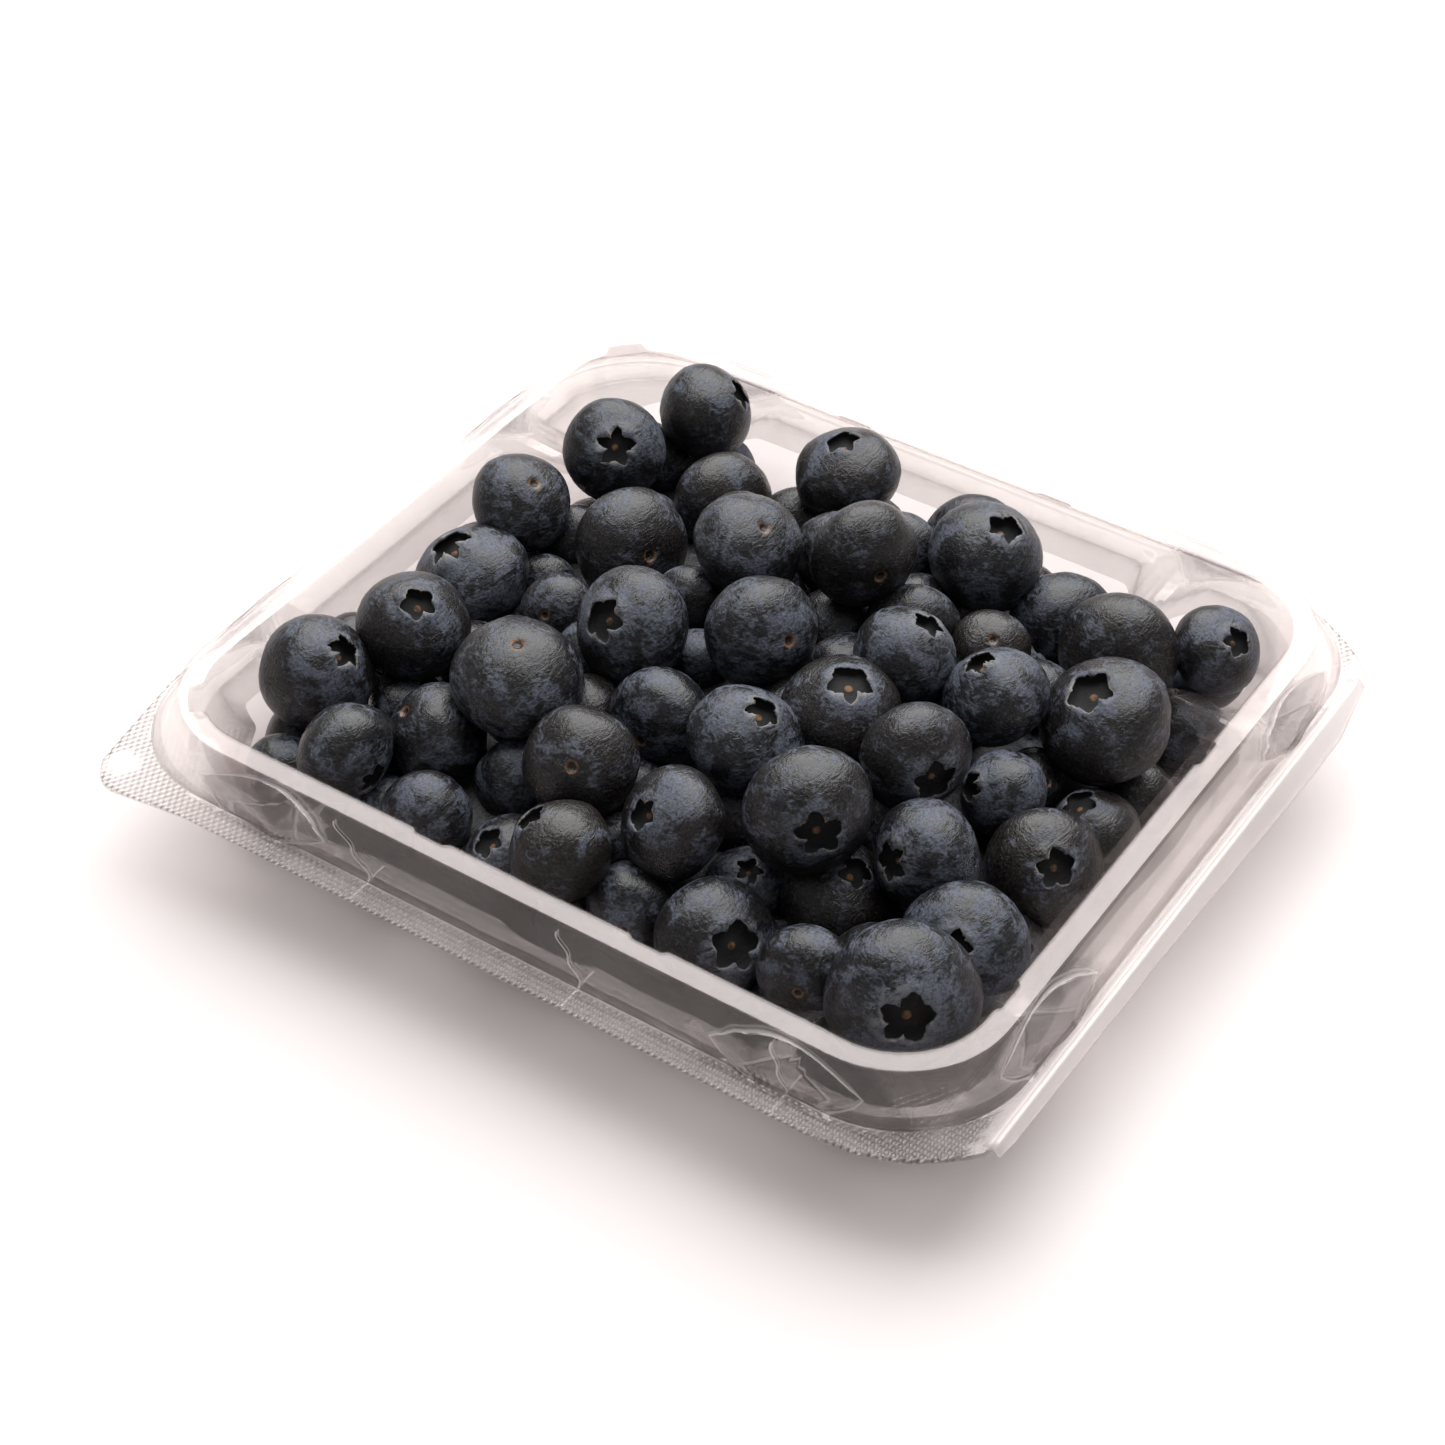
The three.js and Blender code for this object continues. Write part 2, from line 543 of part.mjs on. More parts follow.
/** The solid middle of the heap, a block with a domed top just under the top berries. */
function coreSolid() {
  const steps = 24;
  const ring = (share, level) => Array.from({ length: steps }, (_, step) => {
    const turn = (2 * Math.PI * step) / steps;
    const round = (Math.abs(Math.cos(turn)) ** 4 + Math.abs(Math.sin(turn)) ** 4) ** -0.25;
    const x = share * (RIM.halfX - CORE.inset) * round * Math.cos(turn);
    const y = share * (RIM.halfY - CORE.inset) * round * Math.sin(turn);
    return [x, y, level ?? domeLevel(x, y) - CORE.sunk];
  });
  const rings = [ring(0.4), ring(0.75), ring(1), ring(1, CORE.base + 3), ring(0.92, CORE.base)];
  return toSolid(loftRings([0, 0, domeLevel(0, 0) - CORE.sunk], rings, [0, 0, CORE.base]));
}

/** The part of the core that rises as a post to the middle of a berry that nothing else holds. */
function postSolid({ middle }) {
  const foot = clearOfTub(new THREE.Vector3(middle.x, middle.y, CORE.base + 1), CORE.post);
  const height = middle.z - CORE.base - 1;
  const post = new THREE.CylinderGeometry(CORE.post, CORE.post, height, 5);
  post.rotateX(Math.PI / 2);
  post.translate(foot.x, foot.y, CORE.base + 1 + height / 2);
  return toSolid(post);
}

/** Whether a buried berry lies over the core, its middle covered by berries on top. */
function staysHidden({ middle, radius }, topBerries) {
  const overCore = Math.abs(middle.x) < RIM.halfX - CORE.inset - radius
    && Math.abs(middle.y) < RIM.halfY - CORE.inset - radius;
  const covered = (x, y) => topBerries.some((berry) => berry.middle.z > middle.z
    && Math.hypot(x - berry.middle.x, y - berry.middle.y) < berry.wide);
  const around = [0, 45, 90, 135, 180, 225, 270, 315].every((degrees) => {
    const angle = THREE.MathUtils.degToRad(degrees);
    return covered(
      middle.x + BURIED.core * radius * Math.cos(angle), middle.y + BURIED.core * radius * Math.sin(angle));
  });
  return overCore && around && covered(middle.x, middle.y);
}

/** The bodies of a solid, largest first. */
function bodiesOf(solid) {
  return solid.decompose().sort((one, other) => other.volume() - one.volume());
}

/** The berries that touch no other, nor the core, so that they are loose bodies of the heap. */
function looseBerries(heap, berries) {
  const boxes = bodiesOf(heap).slice(1).map((body) => body.boundingBox());
  const inside = (box, place) => place.every((at, axis) => at > box.min[axis] && at < box.max[axis]);
  return berries.filter(({ middle }) => boxes.some((box) => inside(box, middle.toArray())));
}

/** The whole heap: its core with the berries that show fused on. */
function makeHeap() {
  const axes = viewAxes();
  const topBerries = settleTopBerries(axes);
  const buriedBerries = layBuriedBerries(axes, topBerries)
    .filter((berry) => !staysHidden(berry, topBerries));
  let heap = coreSolid();
  for (const berry of topBerries) heap = heap.add(berrySolid(berry, [-50, -12, 32], 8, true));
  for (const berry of buriedBerries) heap = heap.add(berrySolid(berry, [-35, 25], 6, false));
  for (const berry of looseBerries(heap, topBerries)) heap = heap.add(postSolid(berry));
  return toGeometry(bodiesOf(heap)[0]);
}

// ---------------------------------------------------------------- the object

/** A named piece of the object. */
function piece(name, geometry, finish) {
  const mesh = new THREE.Mesh(geometry, new THREE.MeshStandardMaterial(finish));
  mesh.name = name;
  return mesh;
}

const punnet = new THREE.Group();
punnet.add(piece('punnet_tray', makeTray(), CLEAR_PLASTIC));
punnet.add(piece('berry_heap', makeHeap(), BERRY_SKIN));

export default punnet;
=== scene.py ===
"""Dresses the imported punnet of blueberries: a clear formed tray, heaped with ripe berries.

The tray is raised ring by ring from its floor, over the rim and down to the flange, and then given the
thickness of its sheet. The berries are laid out as in the solids: those on top by where they are seen
from over the tray's corner, the others dropped into the room that is left. Layout sizes are
millimetres, finished meshes are metres.
"""

from __future__ import annotations

import logging
import math
from dataclasses import dataclass, field
from enum import Enum

import bmesh
import bpy
import numpy as np
from mathutils import Matrix, Vector, noise

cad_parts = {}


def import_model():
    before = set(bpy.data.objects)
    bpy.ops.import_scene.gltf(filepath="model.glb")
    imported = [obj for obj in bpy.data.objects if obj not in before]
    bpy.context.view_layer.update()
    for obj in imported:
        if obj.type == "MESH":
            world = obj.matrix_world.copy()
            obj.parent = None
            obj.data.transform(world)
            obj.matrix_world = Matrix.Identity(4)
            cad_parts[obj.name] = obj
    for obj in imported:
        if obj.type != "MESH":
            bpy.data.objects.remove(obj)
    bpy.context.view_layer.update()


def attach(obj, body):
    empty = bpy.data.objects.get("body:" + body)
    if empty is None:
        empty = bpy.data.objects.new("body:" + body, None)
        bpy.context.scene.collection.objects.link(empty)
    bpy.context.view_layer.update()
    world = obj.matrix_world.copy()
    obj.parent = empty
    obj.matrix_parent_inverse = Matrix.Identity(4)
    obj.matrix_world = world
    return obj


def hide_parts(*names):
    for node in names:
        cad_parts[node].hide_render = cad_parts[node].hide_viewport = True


LOG = logging.getLogger("punnet")
MM = 0.001


class Side(Enum):
    """The tray's four sides, in turn from the one at -Y, by the angle that each faces."""

    BROAD_FLANGE = -90
    HINGE = 0
    FAR = 90
    TAB_END = 180


# ---------------------------------------------------------------- the view the heap is laid out in


@dataclass(frozen=True)
class Viewpoint:
    """A place over the corner between -Y and the hinge, and the square view from it.

    The view is 1445 units square, and its units are those of the berries' readings.
    """

    turn: float = 33.81
    lift: float = 41.67
    roll: float = 0.10
    eye: tuple[float, float, float] = (175.14, -269.82, 294.79)
    focal: float = 2936.5
    middle: float = 722.5

    def axes(self, roll: float = 0.0) -> tuple[np.ndarray, np.ndarray, np.ndarray]:
        """The directions to the view's right, up, and back towards the eye.

        Args:
            roll: degrees the view is turned about its own line of sight.

        Returns:
            The three unit directions.
        """
        turn, lift, tip = math.radians(self.turn), math.radians(self.lift), math.radians(roll)
        back = np.array([math.sin(turn) * math.cos(lift), -math.cos(turn) * math.cos(lift), math.sin(lift)])
        right = np.array([math.cos(turn), math.sin(turn), 0.0])
        up = np.cross(back, right)
        return (
            math.cos(tip) * right + math.sin(tip) * up,
            math.cos(tip) * up - math.sin(tip) * right,
            back,
        )

    def sight_lines(self, across: np.ndarray, down: np.ndarray) -> np.ndarray:
        """Lines of sight through places in the view, one unit of depth long.

        Args:
            across: places across the view.
            down: places down the view.

        Returns:
            One direction a row.
        """
        right, up, back = self.axes()
        return (
            -back
            + np.outer((across - self.middle) / self.focal, right)
            + np.outer((self.middle - down) / self.focal, up)
        )

    def seen_at(self, point: np.ndarray) -> tuple[float, float, float]:
        """Where a point appears in the view.

        Args:
            point: the point, in millimetres.

        Returns:
            Its place across and down the view, and its depth.
        """
        right, up, back = self.axes()
        away = point - np.array(self.eye)
        depth = -float(away @ back)
        return (
            self.middle + self.focal * float(away @ right) / depth,
            self.middle - self.focal * float(away @ up) / depth,
            depth,
        )

    def make_camera(self) -> bpy.types.Object:
        """Sets up the scene's camera at this place.

        Returns:
            The camera.
        """
        right, up, back = self.axes(self.roll)
        data = bpy.data.cameras.new("view_camera")
        data.sensor_width = 36.0
        data.lens = self.focal / (2 * self.middle) * data.sensor_width
        data.clip_start = 0.01
        camera = bpy.data.objects.new("view_camera", data)
        turned = Matrix((right, up, back)).transposed().to_4x4()
        camera.matrix_world = Matrix.Translation(Vector(self.eye) * MM) @ turned
        bpy.context.collection.objects.link(camera)
        bpy.context.scene.camera = camera
        return camera


# ---------------------------------------------------------------- finishes


class NodeGraph:
    """A material's nodes, with short ways to add and join them."""

    def __init__(self, name: str) -> None:
        """Starts an empty material.

        Args:
            name: the material's name.
        """
        self.material = bpy.data.materials.new(name)
        self.material.use_nodes = True
        self.nodes = self.material.node_tree.nodes
        self.links = self.material.node_tree.links
        self.nodes.clear()
        self.shader = self.nodes.new("ShaderNodeBsdfPrincipled")
        self.surface = self.nodes.new("ShaderNodeOutputMaterial").inputs["Surface"]
        self.links.new(self.shader.outputs["BSDF"], self.surface)
        self.place = self.nodes.new("ShaderNodeTexCoord").outputs["Object"]

    def join(self, source: object, target: bpy.types.NodeSocket) -> None:
        """Feeds a socket from another socket, or sets it to a plain value.

        Args:
            source: a socket or a value.
            target: the socket that takes it.
        """
        if isinstance(source, bpy.types.NodeSocket):
            self.links.new(source, target)
        else:
            target.default_value = source

    def scaled(self, scale: tuple[float, float, float], turn: float = 0.0) -> bpy.types.NodeSocket:
        """The piece's own coordinates, stretched and turned about Z.

        Args:
            scale: the stretch along each axis.
            turn: the turn in degrees.

        Returns:
            The mapped coordinates.
        """
        node = self.nodes.new("ShaderNodeMapping")
        node.inputs["Scale"].default_value = scale
        node.inputs["Rotation"].default_value = (0.0, 0.0, math.radians(turn))
        self.links.new(self.place, node.inputs["Vector"])
        return node.outputs["Vector"]

    def noise(
        self, scale: float, detail: float = 3.0, place: bpy.types.NodeSocket | None = None, twist: float = 0.0
    ) -> bpy.types.NodeSocket:
        """Cloudy noise over the piece.

        Args:
            scale: how many clouds a metre.
            detail: how many finer clouds are added.
            place: other coordinates than the piece's own.
            twist: how far the clouds are distorted.

        Returns:
            The noise's value.
        """
        node = self.nodes.new("ShaderNodeTexNoise")
        node.inputs["Scale"].default_value = scale
        node.inputs["Detail"].default_value = detail
        node.inputs["Distortion"].default_value = twist
        self.links.new(place or self.place, node.inputs["Vector"])
        return node.outputs["Fac"]

    def cells(
        self,
        scale: float,
        place: bpy.types.NodeSocket | None = None,
        loose: float = 1.0,
        edges: bool = False,
    ) -> bpy.types.NodeSocket:
        """Distance inside cells scattered over the piece.

        Args:
            scale: how many cells a metre.
            place: other coordinates than the piece's own.
            loose: how irregular the cells are.
            edges: whether the distance is to the cell's edge.

        Returns:
            The distance.
        """
        node = self.nodes.new("ShaderNodeTexVoronoi")
        node.feature = "DISTANCE_TO_EDGE" if edges else "F1"
        node.inputs["Scale"].default_value = scale
        node.inputs["Randomness"].default_value = loose
        self.links.new(place or self.place, node.inputs["Vector"])
        return node.outputs["Distance"]

    def math(self, operation: str, first: object, second: object = 0.0) -> bpy.types.NodeSocket:
        """One sum of two values.

        Args:
            operation: the name of the sum.
            first: a socket or a number.
            second: a socket or a number.

        Returns:
            The result, kept from 0 to 1 where it is a blend.
        """
        node = self.nodes.new("ShaderNodeMath")
        node.operation = operation
        self.join(first, node.inputs[0])
        self.join(second, node.inputs[1])
        return node.outputs["Value"]

    def spread(
        self, value: object, low: float, high: float, to_low: float = 0.0, to_high: float = 1.0
    ) -> bpy.types.NodeSocket:
        """Stretches a range of a value smoothly to another range.

        Args:
            value: the value.
            low: start of the range.
            high: end of the range.
            to_low: the result at and below low.
            to_high: the result at and above high.

        Returns:
            The stretched value.
        """
        node = self.nodes.new("ShaderNodeMapRange")
        node.interpolation_type = "SMOOTHSTEP"
        for name, number in (("From Min", low), ("From Max", high), ("To Min", to_low), ("To Max", to_high)):
            node.inputs[name].default_value = number
        self.join(value, node.inputs["Value"])
        return node.outputs["Result"]

    def mix(self, share: object, first: object, second: object) -> bpy.types.NodeSocket:
        """Blends two colours.

        Args:
            share: how much of the second.
            first: a colour or a socket.
            second: a colour or a socket.

        Returns:
            The blended colour.
        """
        node = self.nodes.new("ShaderNodeMix")
        node.data_type = "RGBA"
        self.join(share, node.inputs[0])
        self.join(first, node.inputs[6])
        self.join(second, node.inputs[7])
        return node.outputs[2]

    def bump(self, height: object, distance: float, under: bpy.types.NodeSocket | None = None) -> bpy.types.NodeSocket:
        """A relief for the shader's normal.

        Args:
            height: the relief's height, 0 to 1.
            distance: how deep a full height is, in metres.
            under: another relief that this one is added to.

        Returns:
            The normal.
        """
        node = self.nodes.new("ShaderNodeBump")
        node.inputs["Distance"].default_value = distance
        self.join(height, node.inputs["Height"])
        if under is not None:
            self.links.new(under, node.inputs["Normal"])
        return node.outputs["Normal"]

    def blend(self, share: object, first: bpy.types.Node, second: bpy.types.Node) -> bpy.types.Node:
        """Blends two shaders.

        Args:
            share: how much of the second.
            first: the first shader's node.
            second: the second shader's node.

        Returns:
            The blend's node.
        """
        node = self.nodes.new("ShaderNodeMixShader")
        self.join(share, node.inputs[0])
        self.links.new(first.outputs[0], node.inputs[1])
        self.links.new(second.outputs[0], node.inputs[2])
        return node

    def marks(self, name: str) -> tuple[bpy.types.NodeSocket, ...]:
        """The channels of a mesh's painted marks.

        Args:
            name: the attribute's name.

        Returns:
            Red, green, blue and alpha.
        """
        read = self.nodes.new("ShaderNodeAttribute")
        read.attribute_name = name
        parts = self.nodes.new("ShaderNodeSeparateColor")
        self.links.new(read.outputs["Color"], parts.inputs["Color"])
        return parts.outputs[0], parts.outputs[1], parts.outputs[2], read.outputs["Alpha"]


@dataclass(frozen=True)
class BerrySkin:
    """Blue-black skin under a rubbed waxy bloom, with its calyx cup and stem scar."""

    bare: tuple[float, float, float, float] = (0.0040, 0.0036, 0.0042, 1.0)
    dust: tuple[float, float, float, float] = (0.025, 0.019, 0.016, 1.0)
    cool: tuple[float, float, float, float] = (0.013, 0.014, 0.018, 1.0)
    bloom: tuple[float, float, float, float] = (0.080, 0.090, 0.120, 1.0)
    scar: tuple[float, float, float, float] = (0.170, 0.085, 0.036, 1.0)
    pit: tuple[float, float, float, float] = (0.012, 0.007, 0.005, 1.0)
    # the calyx cup's own colour; the heap core also takes it, as painted shade
    cup: tuple[float, float, float, float] = (0.007, 0.006, 0.006, 1.0)
    lobe: tuple[float, float, float, float] = (0.190, 0.165, 0.135, 1.0)
    crown: tuple[float, float, float, float] = (0.115, 0.118, 0.128, 1.0)
    speck: tuple[float, float, float, float] = (0.26, 0.24, 0.21, 1.0)

    def build(self) -> bpy.types.Material:
        """Makes the skin's material.

        Returns:
            The material.
        """
        graph = NodeGraph("berry_skin_bloom")
        cup, scar, lot, lobe = graph.marks("berry_marks")
        clouds = graph.noise(170.0, 4.0, twist=1.2)
        rubbed = graph.noise(620.0, 8.0, graph.scaled((1.0, 1.0, 1.9), 30.0), 1.4)
        grain = graph.noise(2600.0, 4.0)
        worn = graph.math("ADD", graph.math("MULTIPLY", clouds, 0.56), graph.math("MULTIPLY", rubbed, 0.44))
        worn = graph.math("ADD", worn, graph.math("MULTIPLY", lot, 0.09))
        worn = graph.math("ADD", worn, graph.math("MULTIPLY", lobe, 0.12))
        bloom = graph.spread(worn, 0.515, 0.675)
        dusty = graph.mix(lot, self.dust, self.cool)
        colour = graph.mix(graph.spread(grain, 0.36, 0.66), self.bare, dusty)
        colour = graph.mix(graph.math("MULTIPLY", bloom, graph.spread(grain, 0.3, 0.62, 0.35, 1.0)), colour, self.bloom)
        specks = graph.spread(graph.cells(800.0), 0.04, 0.12, 1.0, 0.0)
        specks = graph.math("MULTIPLY", specks, graph.spread(clouds, 0.45, 0.62))
        colour = graph.mix(graph.math("MULTIPLY", specks, 0.50), colour, self.speck)
        edge = graph.math("MULTIPLY", graph.spread(lobe, 0.80, 1.0), graph.spread(graph.noise(430.0), 0.44, 0.60))
        pale = graph.math("MULTIPLY", graph.spread(lobe, 0.12, 0.65), graph.spread(lot, 0.25, 0.95))
        colour = graph.mix(graph.math("MULTIPLY", pale, graph.spread(rubbed, 0.40, 0.60)), colour, self.crown)
        # the cup mark is the calyx cup's own dark colour on the berries, and painted shade on the heap core
        colour = graph.mix(cup, colour, self.cup)
        colour = graph.mix(edge, colour, self.lobe)
        rim = graph.math("MULTIPLY", graph.spread(scar, 0.10, 0.45), graph.spread(graph.noise(900.0), 0.36, 0.58, 0.25, 1.0))
        colour = graph.mix(rim, colour, self.scar)
        colour = graph.mix(graph.spread(scar, 0.60, 0.95), colour, self.pit)
        graph.join(colour, graph.shader.inputs["Base Color"])
        rough = graph.math("MAXIMUM", graph.spread(bloom, 0.0, 1.0, 0.30, 0.60), graph.math("MULTIPLY", cup, 0.8))
        graph.join(rough, graph.shader.inputs["Roughness"])
        graph.shader.inputs["Specular IOR Level"].default_value = 0.42
        creases = graph.noise(900.0, 5.0, graph.scaled((1.0, 0.42, 1.4), 55.0), 1.8)
        leather = graph.noise(2500.0, 2.0, twist=0.8)
        relief = graph.bump(creases, 0.00013)
        graph.join(graph.bump(leather, 0.00006, relief), graph.shader.inputs["Normal"])
        return graph.material


@dataclass(frozen=True)
class ClearSheet:
    """Thin clear plastic: it mirrors at its faces, greys at steep angles, is faintly milky, and carries painted shade
    on its near bead and floor.
    """

    through: tuple[float, float, float, float] = (0.934, 0.924, 0.920, 1.0)
    steep: tuple[float, float, float, float] = (0.84, 0.83, 0.83, 1.0)
    pressed: tuple[float, float, float, float] = (0.70, 0.69, 0.69, 1.0)
    groove: tuple[float, float, float, float] = (0.34, 0.32, 0.31, 1.0)
    # painted shade: the darker tint on the near bead and the tub's floor, standing in for the pack's own shadow
    shade: tuple[float, float, float, float] = (0.76, 0.75, 0.75, 1.0)
    milk: tuple[float, float, float, float] = (0.82, 0.765, 0.75, 1.0)
    shine: tuple[float, float, float, float] = (1.0, 0.925, 0.91, 1.0)
    haze: float = 0.025
    mirror: float = 0.055
    glance: float = 0.35
    dot_pitch: float = 1.0 * MM
    row_pitch: float = 0.85 * MM
    # places along X at the bead's foot and at its rim
    creases: tuple[tuple[float, float], ...] = ((-21.0, -28.7), (14.0, 8.6), (46.2, 42.4))

    def build(self) -> bpy.types.Material:
        """Makes the sheet's material.

        Returns:
            The material.
        """
        graph = NodeGraph("clear_formed_sheet")
        knurled, painted_shade_share, beside, level = graph.marks("sheet_marks")
        rows = (math.sqrt(2) / self.dot_pitch, math.sqrt(0.5) / self.row_pitch, 0.0)
        dots = graph.cells(1.0, graph.scaled(rows, 45.0), 0.0)
        raised = graph.math("MULTIPLY", graph.spread(dots, 0.15, 0.55, 1.0, 0.0), knurled)
        upper = graph.spread(self.places(graph)[2], 15.35 * MM, 15.45 * MM)
        grooves = graph.math("MULTIPLY", graph.math("MULTIPLY", graph.spread(dots, 0.36, 0.60), knurled), upper)
        lens = graph.math("SUBTRACT", graph.math("SUBTRACT", 1.0, graph.math("MULTIPLY", beside, beside)), level)
        catch = graph.spread(lens, 0.0, 0.10)
        outline = graph.spread(graph.math("ABSOLUTE", lens), 0.015, 0.075, 1.0, 0.0)
        flow = graph.bump(graph.noise(42.0, 1.0), 0.00012)
        relief = graph.bump(catch, 0.00030, graph.bump(raised, 0.00016, flow))

        angle = graph.nodes.new("ShaderNodeLayerWeight")
        angle.inputs["Blend"].default_value = 0.5
        graph.links.new(relief, angle.inputs["Normal"])
        steepness = graph.math("POWER", angle.outputs["Facing"], 5.0)
        clear = graph.nodes.new("ShaderNodeBsdfTransparent")
        edge = graph.math("POWER", angle.outputs["Facing"], 8.0)
        # the painted shade mark darkens what is seen through the near bead and the tub's floor
        tint = graph.mix(edge, graph.mix(painted_shade_share, self.through, self.shade), self.steep)
        tint = graph.mix(graph.math("MULTIPLY", catch, 0.8), tint, self.pressed)
        graph.join(graph.mix(grooves, tint, self.groove), clear.inputs["Color"])
        gloss = graph.nodes.new("ShaderNodeBsdfGlossy")
        gloss.inputs["Color"].default_value = self.shine
        graph.join(graph.spread(graph.noise(300.0), 0.3, 0.7, 0.05, 0.12), gloss.inputs["Roughness"])
        graph.links.new(relief, gloss.inputs["Normal"])
        share = graph.math("MULTIPLY_ADD", steepness, self.glance)
        share.node.inputs[2].default_value = self.mirror
        sheet = graph.blend(share, clear, gloss)

        graph.shader.inputs["Roughness"].default_value = 0.35
        graph.join(graph.mix(graph.noise(120.0), self.milk, (0.88, 0.82, 0.80, 1.0)), graph.shader.inputs["Base Color"])
        graph.links.new(relief, graph.shader.inputs["Normal"])
        cloudy = graph.spread(graph.noise(90.0, 3.0), 0.3, 0.7, self.haze * 0.7, self.haze * 1.4)
        cloudy = graph.math("ADD", cloudy, graph.math("MULTIPLY", self.crease_lines(graph, level), 0.40))
        cloudy = graph.math("ADD", cloudy, graph.math("MULTIPLY", outline, 0.30))
        graph.links.new(graph.blend(cloudy, sheet, graph.shader).outputs[0], graph.surface)
        return graph.material

    def places(self, graph: NodeGraph) -> tuple[bpy.types.NodeSocket, ...]:
        """The place on the sheet, along X, Y and Z.

        Args:
            graph: the sheet's nodes.

        Returns:
            The three coordinates, in metres.
        """
        parts = graph.nodes.new("ShaderNodeSeparateXYZ")
        graph.links.new(graph.place, parts.inputs["Vector"])
        return tuple(parts.outputs)

    def crease_lines(self, graph: NodeGraph, level: bpy.types.NodeSocket) -> bpy.types.NodeSocket:
        """Fine lines where the sheet creased as it was drawn down the bead at -Y.

        Args:
            graph: the sheet's nodes.
            level: distance up or down the bead's wall from its middle, 1 at its edges.

        Returns:
            How much of a line there is.
        """
        across, deep, high = self.places(graph)
        up = graph.spread(high, 15.7 * MM, 20.8 * MM)
        sway = graph.math("SINE", graph.math("MULTIPLY", up, 2 * math.pi))
        up = graph.math("ADD", up, graph.math("MULTIPLY", sway, 0.14))
        lines = graph.math("MULTIPLY", 0.0, 0.0)
        for foot, rim in self.creases:
            line = graph.spread(up, 0.0, 1.0, foot * MM, rim * MM)
            away = graph.math("ABSOLUTE", graph.math("SUBTRACT", across, line))
            lines = graph.math("MAXIMUM", lines, graph.spread(away, 0.08 * MM, 0.28 * MM, 1.0, 0.0))
        lines = graph.math("MULTIPLY", lines, graph.spread(deep, -59.4 * MM, -59.0 * MM, 1.0, 0.0))
        return graph.math("MULTIPLY", lines, graph.spread(level, 0.74, 0.82, 1.0, 0.0))


# ---------------------------------------------------------------- the tray


@dataclass(frozen=True)
class Station:
    """One place round the tray: where it is on its side or corner, and which way it faces."""

    side: int
    along: float
    in_corner: bool
    facing: float


